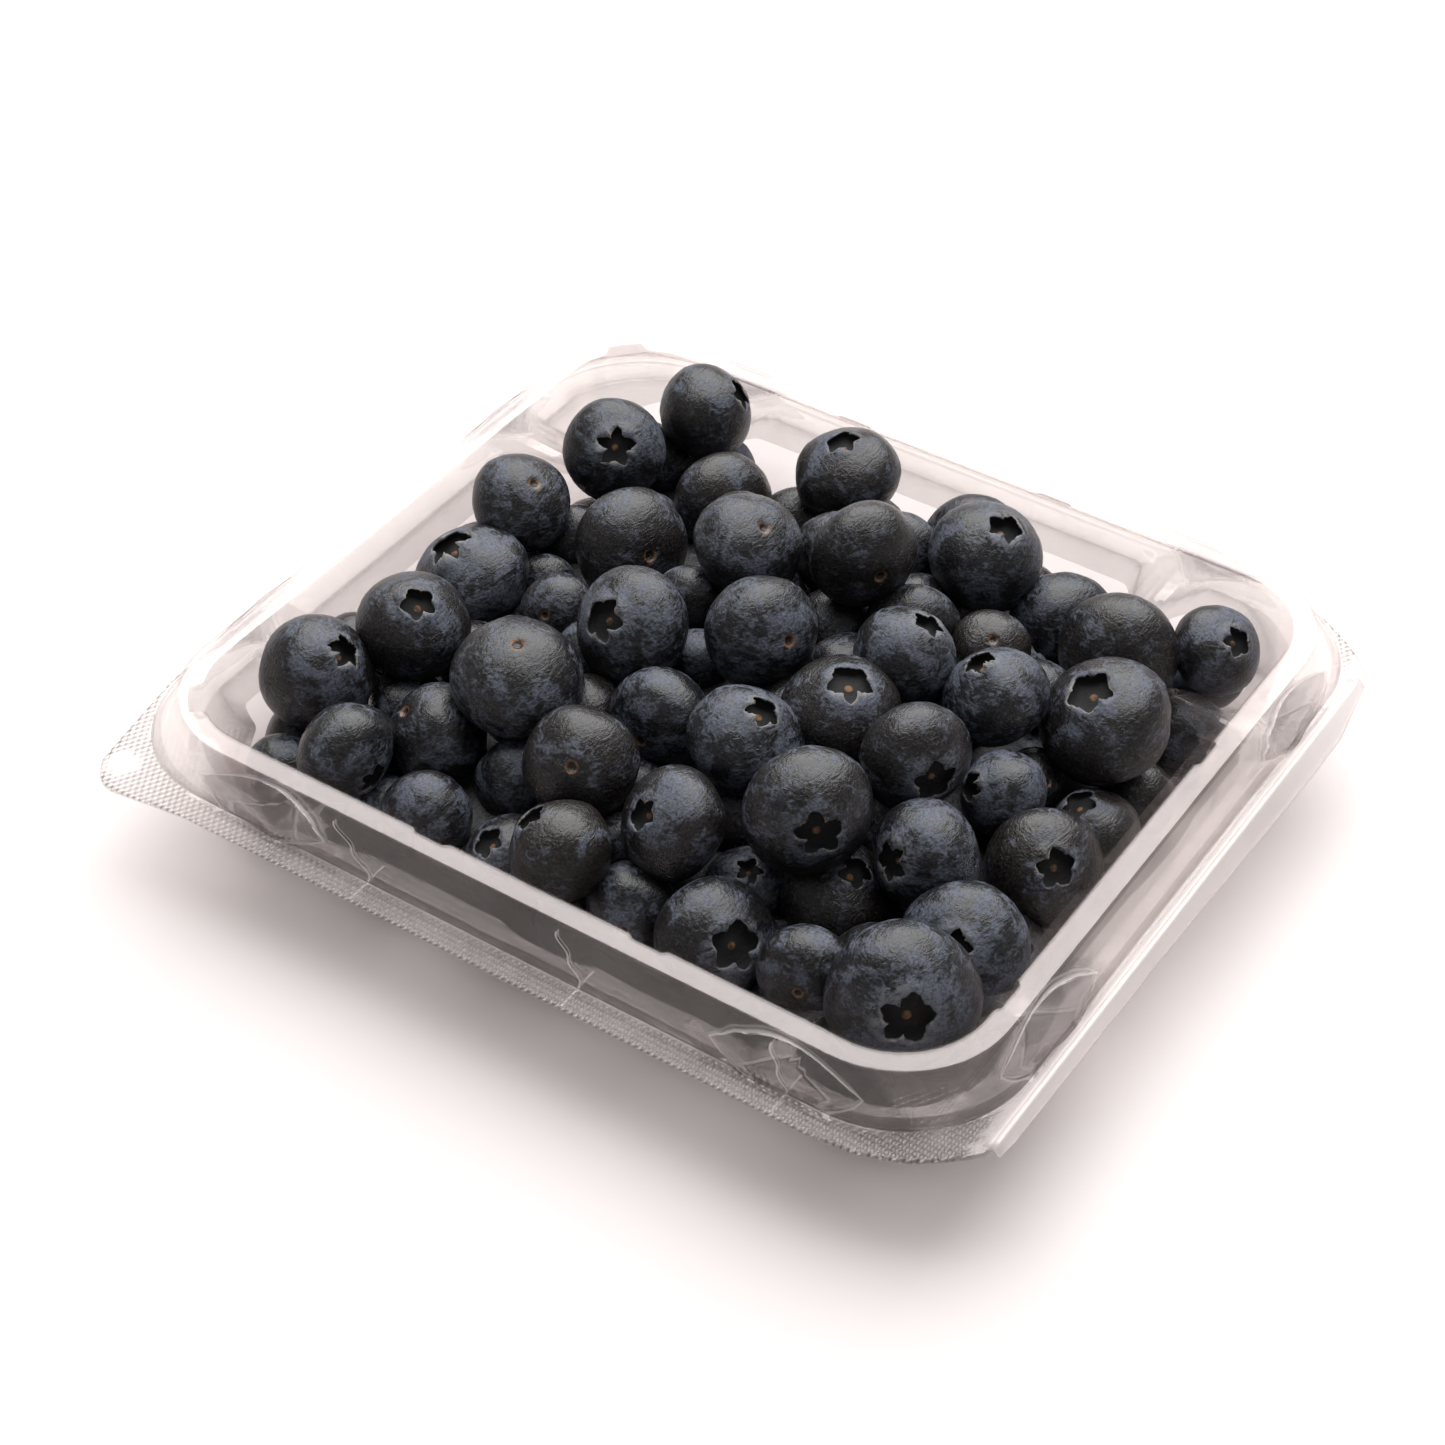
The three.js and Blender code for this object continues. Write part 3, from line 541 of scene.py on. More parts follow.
@dataclass
class FormedTray:
    """The tub, its rim and bead, and the trimmed flange, drawn from one sheet."""

    sheet: float = 0.42
    half_x: float = 63.0
    half_y: float = 55.5
    corner: float = 13.0
    top: float = 22.0
    flat: float = 3.7
    draft: float = 4.5
    fillet: float = 4.2
    foot_offset: float = 7.1
    foot_corner: float = 18.8
    foot_top: float = 15.6
    pocket_half: float = 3.0
    pocket_depth: float = 1.9
    pocket_lip: float = 0.6
    pocket_ledge: float = 16.8
    pocket_ramp: float = 0.7
    button_half: float = 10.5
    button_proud: float = 0.9
    button_low: float = 14.9
    button_high: float = 21.4
    spacing: float = 1.25
    side_pockets: tuple[tuple[int, float], ...] = (
        (0, -15.0), (0, 20.5), (1, -38.0), (1, 17.0), (2, -18.0), (2, 18.0),
    )
    corner_pockets: tuple[int, ...] = (2, 3)
    buttons: tuple[tuple[int, float], ...] = (
        (0, -36.0), (0, 40.5), (1, -32.0), (1, 31.0), (2, -38.0), (2, 38.0), (3, -28.0), (3, 28.0),
    )
    flange_edge: tuple[tuple[float, float], ...] = (
        (52, -66.9), (58.5, -66.2), (64.3, -64), (68.7, -60.7), (72.3, -57.1),
        (72.3, 50.4), (73, 50.9), (70.7, 54.2), (66.8, 57.2), (61.8, 60.3), (51.2, 63.5),
        (-51.2, 63.5), (-61.5, 61), (-68.4, 54), (-70.9, 43.8),
        (-70.9, -46), (-68.2, -61), (-67.4, -64.9), (-65.6, -67.2), (-63.2, -68.7),
        (-56, -67.6), (-50, -66.9),
    )
    tab_spot: tuple[float, float, float] = (-64.6, -63.6, 2.4)
    stations: list[Station] = field(default_factory=list)

    def half(self, side: int) -> float:
        """Half the tray's rim across a side.

        Args:
            side: the side's number.

        Returns:
            The half length of the rim's inner edge along that side.
        """
        return self.half_x if side % 2 == 0 else self.half_y

    def wall_offset(self, z: float) -> float:
        """How far the tub's inner wall lies outside the rim's inner edge at a height."""
        return -self.draft * (1 - z / self.top)

    def lay_stations(self) -> None:
        """Lays out the places round the tray, closer where a pocket or a button begins."""
        for side, face in enumerate(Side):
            straight = self.half(side) - self.corner
            steps = math.ceil(2 * straight / self.spacing)
            places = [-straight + 2 * straight * step / steps for step in range(steps + 1)]
            for at in (at for where, at in self.side_pockets if where == side):
                reach = (self.pocket_half, self.pocket_half - self.pocket_ramp / 2, self.pocket_half - self.pocket_ramp)
                places += [at + sign * edge for edge in reach for sign in (-1, 1)]
            places = sorted(at for at in places if abs(at) <= straight)
            kept = [at for at, before in zip(places, [-1e9, *places]) if at - before > 0.12]
            self.stations += [Station(side, at, False, face.value) for at in kept]
            turns = 16 if side not in self.corner_pockets else 26
            for step in range(1, turns):
                facing = face.value + 90.0 * step / turns
                self.stations.append(Station(side, 90.0 * step / turns - 45.0, True, facing))

    def point(self, station: Station, offset: float, corner: float) -> tuple[Vector, Vector]:
        """A station's place on the rim's outline, grown by an offset.

        Args:
            station: the place round the tray.
            offset: how far outside the rim's inner edge.
            corner: the outline's corner radius there.

        Returns:
            The place, and the outward direction.
        """
        angle = math.radians(station.facing)
        out = Vector((math.cos(angle), math.sin(angle), 0.0))
        reach_x, reach_y = self.half_x + offset, self.half_y + offset
        if station.in_corner:
            sign_x, sign_y = ((1, -1), (1, 1), (-1, 1), (-1, -1))[station.side]
            place = Vector((sign_x * (reach_x - corner), sign_y * (reach_y - corner), 0.0)) + corner * out
            return place, out
        share = station.along / (self.half(station.side) - self.corner)
        run = share * (self.half(station.side) + offset - corner)
        places = ((run, -reach_y), (reach_x, run), (-run, reach_y), (-reach_x, -run))
        return Vector((*places[station.side], 0.0)), out

    def pocket_push(self, station: Station, z: float) -> float:
        """How far a denesting pocket pushes the wall out: at a side it closes up to its lip."""
        depth = self.pocket_depth
        if station.in_corner:
            near = station.side in self.corner_pockets
            distance = abs(math.radians(station.along)) * self.corner if near else 99.0
        else:
            gaps = [abs(station.along - at) for side, at in self.side_pockets if side == station.side]
            distance = min(gaps, default=99.0)
            rise = min(1.0, max(0.0, (z - self.pocket_ledge) / (self.top - self.pocket_ledge)))
            depth += (self.pocket_lip - self.pocket_depth) * rise
        share = min(1.0, max(0.0, (self.pocket_half - distance) / self.pocket_ramp))
        return depth * share * share * (3 - 2 * share)

    def button_push(self, station: Station, z: float) -> float:
        """How far a lid catch swells the bead's wall at a station and a height."""
        if station.in_corner:
            return 0.0
        level = 2 * (z - self.button_low) / (self.button_high - self.button_low) - 1
        push = 0.0
        for side, at in self.buttons:
            along = (station.along - at) / self.button_half
            if side == station.side and abs(along) < 1 and abs(level) < 1:
                lens = max(0.0, min(1.0, (1 - along * along - abs(level)) / 0.4))
                push = max(push, self.button_proud * lens * lens * (3 - 2 * lens))
        return push

    def reach(self, place: Vector, out: Vector) -> float:
        """Distance from a place outwards to the flange's trimmed edge.

        Args:
            place: where to start.
            out: the direction.

        Returns:
            The distance.
        """
        best = 99.0
        edge = [Vector((x, y, 0.0)) for x, y in self.flange_edge]
        for first, second in zip(edge, edge[1:] + edge[:1]):
            run, start = second - first, first - place
            cross = out.x * run.y - out.y * run.x
            if abs(cross) < 1e-9:
                continue
            distance = (start.x * run.y - start.y * run.x) / cross
            share = (start.x * out.y - start.y * out.x) / cross
            if distance > 0 and -1e-6 <= share <= 1 + 1e-6:
                best = min(best, distance)
        return best

    def section(self) -> list[tuple[float, float]]:
        """The sheet's upper face in section, as offset and height, from the floor to the foot.

        Returns:
            The points, with each bend rounded.
        """
        bends = (
            (-14.0, self.sheet, 0.0, 0),
            (self.wall_offset(self.sheet), self.sheet, self.fillet, 7),
            (0.0, self.top, 0.7, 4),
            (self.flat, self.top, 0.9, 5),
            (self.foot_offset, self.foot_top, 0.8, 4),
            (self.foot_offset + 1.4, self.foot_top, 0.0, 0),
        )
        points: list[tuple[float, float]] = [bends[0][:2]]
        for before, (x, z, radius, steps), after in zip(bends, bends[1:], bends[2:]):
            into = Vector((before[0] - x, before[1] - z)).normalized()
            away = Vector((after[0] - x, after[1] - z)).normalized()
            half_turn = into.angle(away) / 2
            back = radius / math.tan(half_turn)
            start, end = Vector((x, z)) + into * back, Vector((x, z)) + away * back
            last = Vector(points[-1])
            pieces = max(1, math.ceil((start - last).length / 1.3))
            points += [tuple(last.lerp(start, piece / pieces)) for piece in range(1, pieces + 1)]
            for step in range(1, steps + 1):
                share = step / steps
                bend = start.lerp(Vector((x, z)), share).lerp(Vector((x, z)).lerp(end, share), share)
                points.append(tuple(bend))
        return points

    def ring(self, offset: float, z: float, on_wall: bool) -> list[Vector]:
        """One ring of the sheet's upper face.

        Args:
            offset: how far outside the rim's inner edge.
            z: its height.
            on_wall: whether it lies on the tub's wall rather than on the bead.

        Returns:
            A point for each station.
        """
        beyond = min(1.0, max(0.0, (offset - self.flat) / (self.foot_offset - self.flat)))
        outer = self.corner + self.flat + (self.foot_corner - self.corner - self.flat) * beyond
        corner = outer if offset > self.flat else self.corner + offset
        if on_wall:
            lift = min(1.0, max(0.0, (z - self.pocket_ledge + 0.5) / 0.5))
        else:
            lift = min(1.0, max(0.0, (self.flat - 0.4 - offset) / (self.flat - 0.9)))
        points = []
        for station in self.stations:
            place, out = self.point(station, offset, corner)
            push = lift * self.pocket_push(station, z)
            if offset > self.flat - 0.5 and z < self.top - 0.2:
                push += self.button_push(station, z)
            points.append(place + push * out + Vector((0.0, 0.0, z)))
        return points

    def flange_rings(self) -> list[list[Vector]]:
        """The rings from the foot out to the trimmed edge.

        Returns:
            The rings, innermost first.
        """
        starts = [self.point(station, self.foot_offset, self.foot_corner) for station in self.stations]
        reaches = [self.reach(place, out) for place, out in starts]
        start = min(0.85, min(reaches) - 0.12)
        shares = (0.0, 0.12, 0.25, 0.4, 0.55, 0.7, 0.85, 1.0)
        return [
            [
                place + out * (start + (reach - start) * share) + Vector((0.0, 0.0, self.foot_top))
                for (place, out), reach in zip(starts, reaches)
            ]
            for share in shares
        ]

    def build(self, finish: bpy.types.Material) -> bpy.types.Object:
        """Draws the sheet ring by ring and gives it its thickness.

        Args:
            finish: the clear sheet's material.

        Returns:
            The finished tray.
        """
        self.lay_stations()
        section = self.section()
        rings = [self.ring(offset, z, offset < 0.35 and z < self.top - 0.25) for offset, z in section[:-1]]
        rings += self.flange_rings()
        mesh = bmesh.new()
        number = mesh.verts.layers.int.new("station")
        bmesh.ops.create_circle(mesh, cap_ends=False, segments=len(self.stations), radius=1.0)
        mesh.verts.ensure_lookup_table()
        for index, vert in enumerate(mesh.verts):
            vert[number] = index
            vert.co = rings[0][index]
        floor_edges = list(mesh.edges)
        edges = floor_edges
        for ring in rings[1:]:
            grown = bmesh.ops.extrude_edge_only(mesh, edges=edges)["geom"]
            edges = [item for item in grown if isinstance(item, bmesh.types.BMEdge)]
            for vert in (item for item in grown if isinstance(item, bmesh.types.BMVert)):
                vert.co = ring[vert[number]]
        edges = floor_edges
        for share in (0.75, 0.5, 0.25, 0.0):
            grown = bmesh.ops.extrude_edge_only(mesh, edges=edges)["geom"]
            edges = [item for item in grown if isinstance(item, bmesh.types.BMEdge)]
            for vert in (item for item in grown if isinstance(item, bmesh.types.BMVert)):
                vert.co = rings[0][vert[number]] * share
                vert.co.z = self.sheet
        bmesh.ops.remove_doubles(mesh, verts=mesh.verts, dist=0.001)
        bmesh.ops.recalc_face_normals(mesh, faces=mesh.faces)
        if sum(face.normal.z for face in mesh.faces) < 0:
            bmesh.ops.reverse_faces(mesh, faces=mesh.faces)
        bmesh.ops.solidify(mesh, geom=mesh.faces[:], thickness=self.sheet)
        self.paint_marks(mesh)
        return finished_piece("punnet_tray_sheet", mesh, finish)

    def paint_marks(self, mesh: bmesh.types.BMesh) -> None:
        """Marks where the flange carries its raised pattern, where painted shade darkens the tub's floor and the bead's
        near walls, and places on and round the lid catches.

        Args:
            mesh: the tray's mesh, in millimetres.
        """
        marks = mesh.verts.layers.float_color.new("sheet_marks")
        spot_x, spot_y, spot_radius = self.tab_spot
        for vert in mesh.verts:
            x, y, z = vert.co
            on_flange = abs(z - self.foot_top) < 0.6
            reach_x = self.half_x + self.foot_offset - self.foot_corner
            reach_y = self.half_y + self.foot_offset - self.foot_corner
            over = math.hypot(max(0.0, abs(x) - reach_x), max(0.0, abs(y) - reach_y)) - self.foot_corner
            knurled = on_flange and over > 0.5 and x < 69.8
            if math.hypot(x - spot_x, y - spot_y) < spot_radius:
                knurled = False
            level = abs(2 * (z - self.button_low) / (self.button_high - self.button_low) - 1)
            # painted shade: a little on the tub's floor, and more on the bead's walls at -Y and the front corner,
            # fading out towards the tab end
            painted_shade_share = 0.3 if z < 1.0 else 0.0
            if self.on_bead(x, y, z):
                painted_shade_share = min(1.0, max(0.0, (0.25 * x - y - 38) / 12)) * min(1.0, max(0.0, (x + 52) / 4))
            vert[marks] = (1.0 if knurled else 0.0, painted_shade_share, self.from_catch(x, y, z), level)

    def on_bead(self, x: float, y: float, z: float) -> bool:
        """Whether a place lies on the bead's sloping wall.

        Args:
            x: the place along X.
            y: the place along Y.
            z: its height.

        Returns:
            Whether it does.
        """
        over = max(abs(x) - self.half_x, abs(y) - self.half_y)
        beside = self.flat - 0.6 < over < self.foot_offset + 1.2
        return beside and self.foot_top - 0.6 < z < self.top - 0.2

    def from_catch(self, x: float, y: float, z: float) -> float:
        """How far along the bead's wall a place is from the nearest lid catch.

        Args:
            x: the place along X.
            y: the place along Y.
            z: its height.

        Returns:
            The distance in half lengths of a catch, and 2 away from the bead's wall.
        """
        over_x, over_y = abs(x) - self.half_x, abs(y) - self.half_y
        if not self.on_bead(x, y, z):
            return 2.0
        if over_y > over_x:
            side, run = (0, x) if y < 0 else (2, -x)
        else:
            side, run = (1, y) if x > 0 else (3, -y)
        straight = self.half(side) - self.corner
        along = run * straight / (straight + max(over_x, over_y))
        return min([2.0] + [abs(along - at) / self.button_half for where, at in self.buttons if where == side])


@dataclass
class LidStrip:
    """The hinge's ridge and the narrow torn strip of lid that still hangs from it."""

    x: float = 72.3
    ridge: float = 0.6
    top: float = 15.6
    sheet: float = 0.36
    sections: tuple[tuple[float, float, float], ...] = (
        (-56.4, 1.1, 0.4), (-53.0, 1.3, 1.0), (-10.0, 1.6, 1.6), (20.0, 2.3, 2.2), (39.0, 2.5, 2.3), (49.8, 1.1, 0.3),
    )

    def outline(self, reach: float, drop: float) -> list[Vector]:
        """The strip's upper face in section.

        Args:
            reach: how far the strip stands out beyond the ridge.
            drop: how far its edge hangs down.

        Returns:
            The points, across X and Z.
        """
        points = [Vector((self.x - 1.5, 0.0, self.top + 0.02)), Vector((self.x - 0.75, 0.0, self.top + 0.03))]
        for degrees in (170, 140, 110, 80, 50, 20):
            angle = math.radians(degrees)
            points.append(Vector((self.x + self.ridge * math.cos(angle), 0.0, self.top + self.ridge * math.sin(angle))))
        tip = Vector((self.x + reach, 0.0, self.top - drop))
        start = points[-1]
        points += [start.lerp(tip, share) for share in (0.35, 0.7, 1.0)]
        return points

    def build(self, finish: bpy.types.Material) -> bpy.types.Object:
        """Runs the section along the hinge and gives it its thickness.

        Args:
            finish: the clear sheet's material.

        Returns:
            The finished strip.
        """
        mesh = bmesh.new()
        number = mesh.verts.layers.int.new("place")
        count = len(self.outline(1.0, 1.0))
        places = [self.at(-56.4 + 106.2 * step / 60) for step in range(61)]
        start = [mesh.verts.new(point) for point in places[0]]
        for index, vert in enumerate(start):
            vert[number] = index
        edges = [mesh.edges.new((start[index], start[index + 1])) for index in range(count - 1)]
        for points in places[1:]:
            grown = bmesh.ops.extrude_edge_only(mesh, edges=edges)["geom"]
            edges = [item for item in grown if isinstance(item, bmesh.types.BMEdge)]
            for vert in (item for item in grown if isinstance(item, bmesh.types.BMVert)):
                vert.co = points[vert[number]]
        bmesh.ops.recalc_face_normals(mesh, faces=mesh.faces)
        if sum(face.normal.z for face in mesh.faces) < 0:
            bmesh.ops.reverse_faces(mesh, faces=mesh.faces)
        bmesh.ops.solidify(mesh, geom=mesh.faces[:], thickness=self.sheet)
        return finished_piece("hinge_lid_strip", mesh, finish)

    def at(self, y: float) -> list[Vector]:
        """The section at a place along the hinge.

        Args:
            y: the place.

        Returns:
            The section's points.
        """
        places = [section[0] for section in self.sections]
        reach = float(np.interp(y, places, [section[1] for section in self.sections]))
        drop = float(np.interp(y, places, [section[2] for section in self.sections]))
        wave = 0.12 * noise.noise(Vector((y * 0.15, 3.0, 0.0)))
        return [point + Vector((0.0, y, 0.0)) for point in self.outline(reach + wave, drop)]


# ---------------------------------------------------------------- the berries


@dataclass
class Berry:
    """One berry: its middle, which way its calyx faces, and its half widths, in millimetres."""

    middle: np.ndarray
    pole: np.ndarray
    wide: float
    tall: float

    @property
    def radius(self) -> float:
        """The radius of a ball as large as the berry."""
        return (self.wide**2 * self.tall) ** (1 / 3)


class Draws:
    """The same run of numbers from 0 to 1 every time."""

    def __init__(self, seed: int) -> None:
        """Starts the run.

        Args:
            seed: where the run starts.
        """
        self.state = seed

    def __call__(self) -> float:
        """The next number."""
        self.state = (self.state * 48271) % 2147483647
        return self.state / 2147483647


@dataclass
class HeapLayout:
    """Where every berry lies, by the rule the solids use."""

    view: Viewpoint = field(default_factory=Viewpoint)
    half_x: float = 63.0
    half_y: float = 55.5
    corner: float = 13.0
    rim_top: float = 22.0
    draft: float = 4.5
    floor: float = 0.5
    clear: float = 0.4
    squash: float = 0.94
    heap_top: float = 28.0
    heap_edge: float = 17.0
    layer_drop: float = 5.0
    trials: int = 12000
    least: float = 5.8
    most: float = 7.6
    high: float = 2.0
    low: float = 18.0
    buried_squash: float = 0.85
    seed: int = 31
    # across, down, width, height, layer, the calyx (facing 1) or stem scar (-1) as it shows
    readings: tuple[tuple[float, ...], ...] = (
        (705, 411, 90, 97, 0, 745, 393, 1), (613, 448, 104, 104, 0, 617, 450, 1),
        (645, 460, 70, 90, 1, 660, 430, 0), (521, 502, 96, 104, 0, 540, 480, -1),
        (470, 578, 122, 92, 1, 445, 537, 1), (413, 626, 112, 114, 0, 424, 600, 1),
        (316, 674, 117, 117, 0, 352, 650, 1), (517, 677, 135, 113, 0, 521, 634, -1),
        (630, 545, 118, 95, 1, 657, 560, -1), (632, 625, 114, 122, 0, 597, 619, 1),
        (722, 500, 100, 80, 1, 700, 480, 0), (747, 545, 113, 90, 0, 768, 523, -1),
        (760, 630, 112, 116, 0, 792, 642, -1), (848, 472, 108, 84, 0, 838, 433, 1),
        (864, 552, 112, 98, 0, 845, 520, 0), (985, 555, 117, 112, 0, 1003, 525, 1),
        (345, 751, 104, 90, 0, 382, 783, 1), (437, 734, 106, 102, 1, 404, 708, -1),
        (283, 768, 75, 72, 1, 290, 740, 0), (427, 815, 94, 90, 0, 440, 790, 0),
        (580, 762, 116, 108, 0, 572, 766, -1), (522, 779, 98, 92, 2, 505, 750, 0),
        (662, 718, 110, 98, 1, 690, 690, 0), (745, 738, 121, 98, 0, 766, 703, 1),
        (673, 822, 90, 118, 0, 633, 808, 1), (560, 851, 106, 109, 0, 527, 812, 1),
        (512, 862, 100, 100, 1, 488, 838, 1), (632, 905, 92, 95, 1, 640, 880, 0),
        (714, 940, 128, 116, 0, 742, 944, 1), (745, 885, 85, 75, 1, 751, 862, 1),
        (835, 895, 126, 95, 1, 858, 860, 1), (810, 810, 134, 114, 0, 819, 838, 1),
        (842, 710, 124, 86, 0, 850, 674, 1), (905, 655, 105, 106, 0, 930, 619, 1),
        (990, 648, 82, 72, 1, 990, 636, -1), (996, 694, 110, 98, 0, 973, 655, 1),
        (1060, 622, 108, 72, 1, 1050, 600, 0), (1118, 650, 122, 90, 1, 1140, 625, 0),
        (1216, 648, 88, 94, 0, 1236, 638, 1), (1105, 719, 137, 108, 0, 1079, 680, 1),
        (1190, 736, 86, 88, 1, 1180, 702, 0), (1139, 803, 84, 86, 1, 1150, 775, 0),
        (915, 755, 118, 93, 0, 939, 787, 1), (1003, 793, 90, 92, 0, 966, 783, 1),
        (1030, 780, 70, 70, 1, 1047, 781, -1), (925, 853, 106, 114, 0, 882, 860, 1),
        (1045, 866, 122, 122, 0, 1054, 864, 1), (1092, 832, 96, 90, 1, 1072, 797, 1),
        (965, 945, 136, 112, 0, 944, 943, 1), (807, 970, 102, 94, 0, 820, 945, 0),
        (903, 994, 157, 114, 0, 905, 1019, 1), (797, 528, 84, 92, 2, 790, 505, 0),
        (900, 550, 70, 82, 1, 912, 535, 0), (912, 626, 98, 86, 1, 915, 590, 0),
        (834, 632, 94, 98, 2, 830, 600, 0), (690, 600, 70, 76, 1, 703, 580, 0),
        (557, 610, 78, 74, 1, 543, 617, -1), (545, 585, 66, 62, 2, 550, 570, 0),
        (698, 662, 72, 72, 2, 700, 640, 0), (735, 822, 76, 84, 2, 730, 795, 0),
        (578, 545, 60, 85, 2, 570, 520, 0), (622, 848, 74, 80, 2, 625, 830, 0),
    )
    # where the view falls on bare tray, so that no buried berry shows there
    bare_spots: tuple[tuple[float, float], ...] = (
        (235, 680), (245, 715), (262, 612), (300, 603), (340, 600), (355, 605), (395, 550), (440, 505),
        (475, 462), (500, 445), (545, 435), (560, 465), (574, 492), (590, 385), (640, 390), (655, 400),
        (760, 420), (768, 460), (785, 475), (800, 435), (908, 460), (900, 495), (918, 518), (945, 495),
        (1050, 560), (1062, 580), (1110, 592), (1160, 605), (1180, 598), (1240, 600), (1266, 640),
        (1254, 688),
    )

    def dome(self, middles: np.ndarray) -> np.ndarray:
        """Level of the top berries' middles over places in the tray.

        Args:
            middles: one place a row.

        Returns:
            The level at each.
        """
        fall_x = np.maximum(0, 1 - (middles[:, 0] / self.half_x) ** 2)
        fall_y = np.maximum(0, 1 - (middles[:, 1] / self.half_y) ** 2)
        return self.heap_edge + (self.heap_top - self.heap_edge) * fall_x * fall_y

    def clear_of_tub(self, middles: np.ndarray, radii: np.ndarray) -> np.ndarray:
        """Moves berries' middles in until they clear the tub's walls and floor.

        Args:
            middles: one middle a row.
            radii: their radii.

        Returns:
            The middles, moved in.
        """
        wall = -self.draft * (1 - np.minimum(middles[:, 2], self.rim_top) / self.rim_top)
        inset = radii + self.clear - wall
        reach = np.stack((self.half_x - inset, self.half_y - inset), axis=1)
        flat = np.clip(middles[:, :2], -reach, reach)
        corner = np.maximum(self.corner - inset, 0.5)
        over = np.abs(flat) - (reach - corner[:, None])
        length = np.hypot(over[:, 0], over[:, 1])
        outside = (over[:, 0] > 0) & (over[:, 1] > 0) & (length > corner)
        shrink = np.where(outside, corner / np.maximum(length, 1e-9), 1.0)[:, None]
        rounded = np.sign(flat) * (reach - corner[:, None] + over * shrink)
        flat = np.where(outside[:, None], rounded, flat)
        return np.column_stack((flat, np.maximum(middles[:, 2], self.floor + self.clear + radii)))

    def poles(self, table: np.ndarray, seen: np.ndarray) -> np.ndarray:
        """Directions of the calyxes, from where each calyx or stem scar shows.

        Args:
            table: the readings.
            seen: the berries' half widths in the view.

        Returns:
            One direction a row.
        """
        right, up, back = self.view.axes()
        across = (table[:, 5] - table[:, 0]) / seen
        rise = (table[:, 1] - table[:, 6]) / seen
        out = np.hypot(across, rise)
        scale = np.where(out > 0.95, 0.95 / np.maximum(out, 1e-9), 1.0)
        towards = np.sqrt(1 - (out * scale) ** 2)
        sideways = np.outer(across * scale, right) + np.outer(rise * scale, up)
        facing = table[:, 7]
        depth = np.where(facing == 0, -towards, towards)
        sign = np.where(facing == 0, 1.0, facing)
        return (sideways + np.outer(depth, back)) * sign[:, None]

    def settle(self) -> tuple[list[Berry], np.ndarray]:
        """Slides the berries on top along their lines of sight until neighbours just touch.

        Returns:
            The berries on top, and for each its place and half width in the view, and its depth.
        """
        table = np.array(self.readings, dtype=float)
        seen = table[:, 2:4].max(axis=1) / 2
        narrow = table[:, 2:4].min(axis=1) / 2
        lines = self.view.sight_lines(table[:, 0], table[:, 1])
        poles = self.poles(table, seen)
        facing = (poles @ self.view.axes()[2]) ** 2
        share = ((narrow / seen) ** 2 - facing) / np.maximum(1 - facing, 0.3)
        flatness = np.clip(np.sqrt(np.maximum(share, 0)), 0.78, 0.92)
        layer = table[:, 4]
        depth = np.full(len(table), 420.0)
        eye = np.array(self.view.eye)
        for turn in range(900):
            middles = eye + lines * depth[:, None]
            wide = seen * depth / self.view.focal
            radius = np.cbrt(wide**3 * flatness)
            level = self.dome(middles) - self.layer_drop * layer
            if turn < 60:
                depth = depth + 0.8 * (middles[:, 2] - level)
                continue
            shift = 0.02 * (middles[:, 2] - level)
            kept = self.clear_of_tub(middles, wide) - middles
            size = (kept**2).sum(axis=1)
            along = (kept * lines).sum(axis=1)
            held = np.clip(size / np.where(np.abs(along) < 1e-12, 1e-12, along), -2, 2)
            shift += np.where(size > 1e-4, held, 0.0)
            shift += self.partings(middles, radius, depth, layer)
            depth = depth + np.clip(shift, -0.6, 0.6)
        middles = eye + lines * depth[:, None]
        wide = seen * depth / self.view.focal
        middles = self.clear_of_tub(middles, wide)
        berries = [
            Berry(middle, pole, float(width), float(width * flat))
            for middle, pole, width, flat in zip(middles, poles, wide, flatness)
        ]
        return berries, np.column_stack((table[:, 0], table[:, 1], seen, depth))

    def partings(self, middles: np.ndarray, radius: np.ndarray, depth: np.ndarray, layer: np.ndarray) -> np.ndarray:
        """How far berries that lie too close slide apart along their lines of sight.

        Args:
            middles: their middles.
            radius: their radii.
            depth: their depths.
            layer: their layers.

        Returns:
            Each berry's shift in depth.
        """
        gap = np.linalg.norm(middles[:, None] - middles[None], axis=2)
        need = self.squash * (radius[:, None] + radius[None])
        same = layer[:, None] == layer[None]
        front = np.where(same, depth[:, None] < depth[None], layer[:, None] < layer[None])
        apart = depth[None] - depth[:, None]
        sideways = np.maximum(0, gap**2 - apart**2)
        push = 0.175 * (np.sqrt(np.maximum(0, need**2 - sideways)) - apart)
        push = np.where(front & (gap < need), push, 0.0)
        np.fill_diagonal(push, 0.0)
        return push.sum(axis=0) - push.sum(axis=1)

    def shows_wrongly(self, seen: np.ndarray, middle: np.ndarray, radius: float) -> bool:
        """Whether a buried berry would show on bare tray, or before a berry on top.

        Args:
            seen: the places, half widths and depths of the berries on top.
            middle: the buried berry's middle.
            radius: its radius.

        Returns:
            Whether it shows where it may not.
        """
        across, down, depth = self.view.seen_at(middle)
        wide = radius * self.view.focal / depth
        bare = np.array(self.bare_spots)
        if (np.hypot(across - bare[:, 0], down - bare[:, 1]) < 1.1 * wide).any():
            return True
        step = np.arange(18)
        reach = np.where(step % 3 == 0, 0.45, 0.92) * wide
        x = across + reach * np.cos(step * math.pi / 9)
        y = down + reach * np.sin(step * math.pi / 9)
        gaps = np.hypot(x[:, None] - seen[:, 0], y[:, None] - seen[:, 1])
        over = gaps < 0.95 * seen[:, 2]
        nearer = over & (seen[:, 3] <= depth)
        return int((over.any(axis=1) & ~nearer.any(axis=1)).sum()) > 2

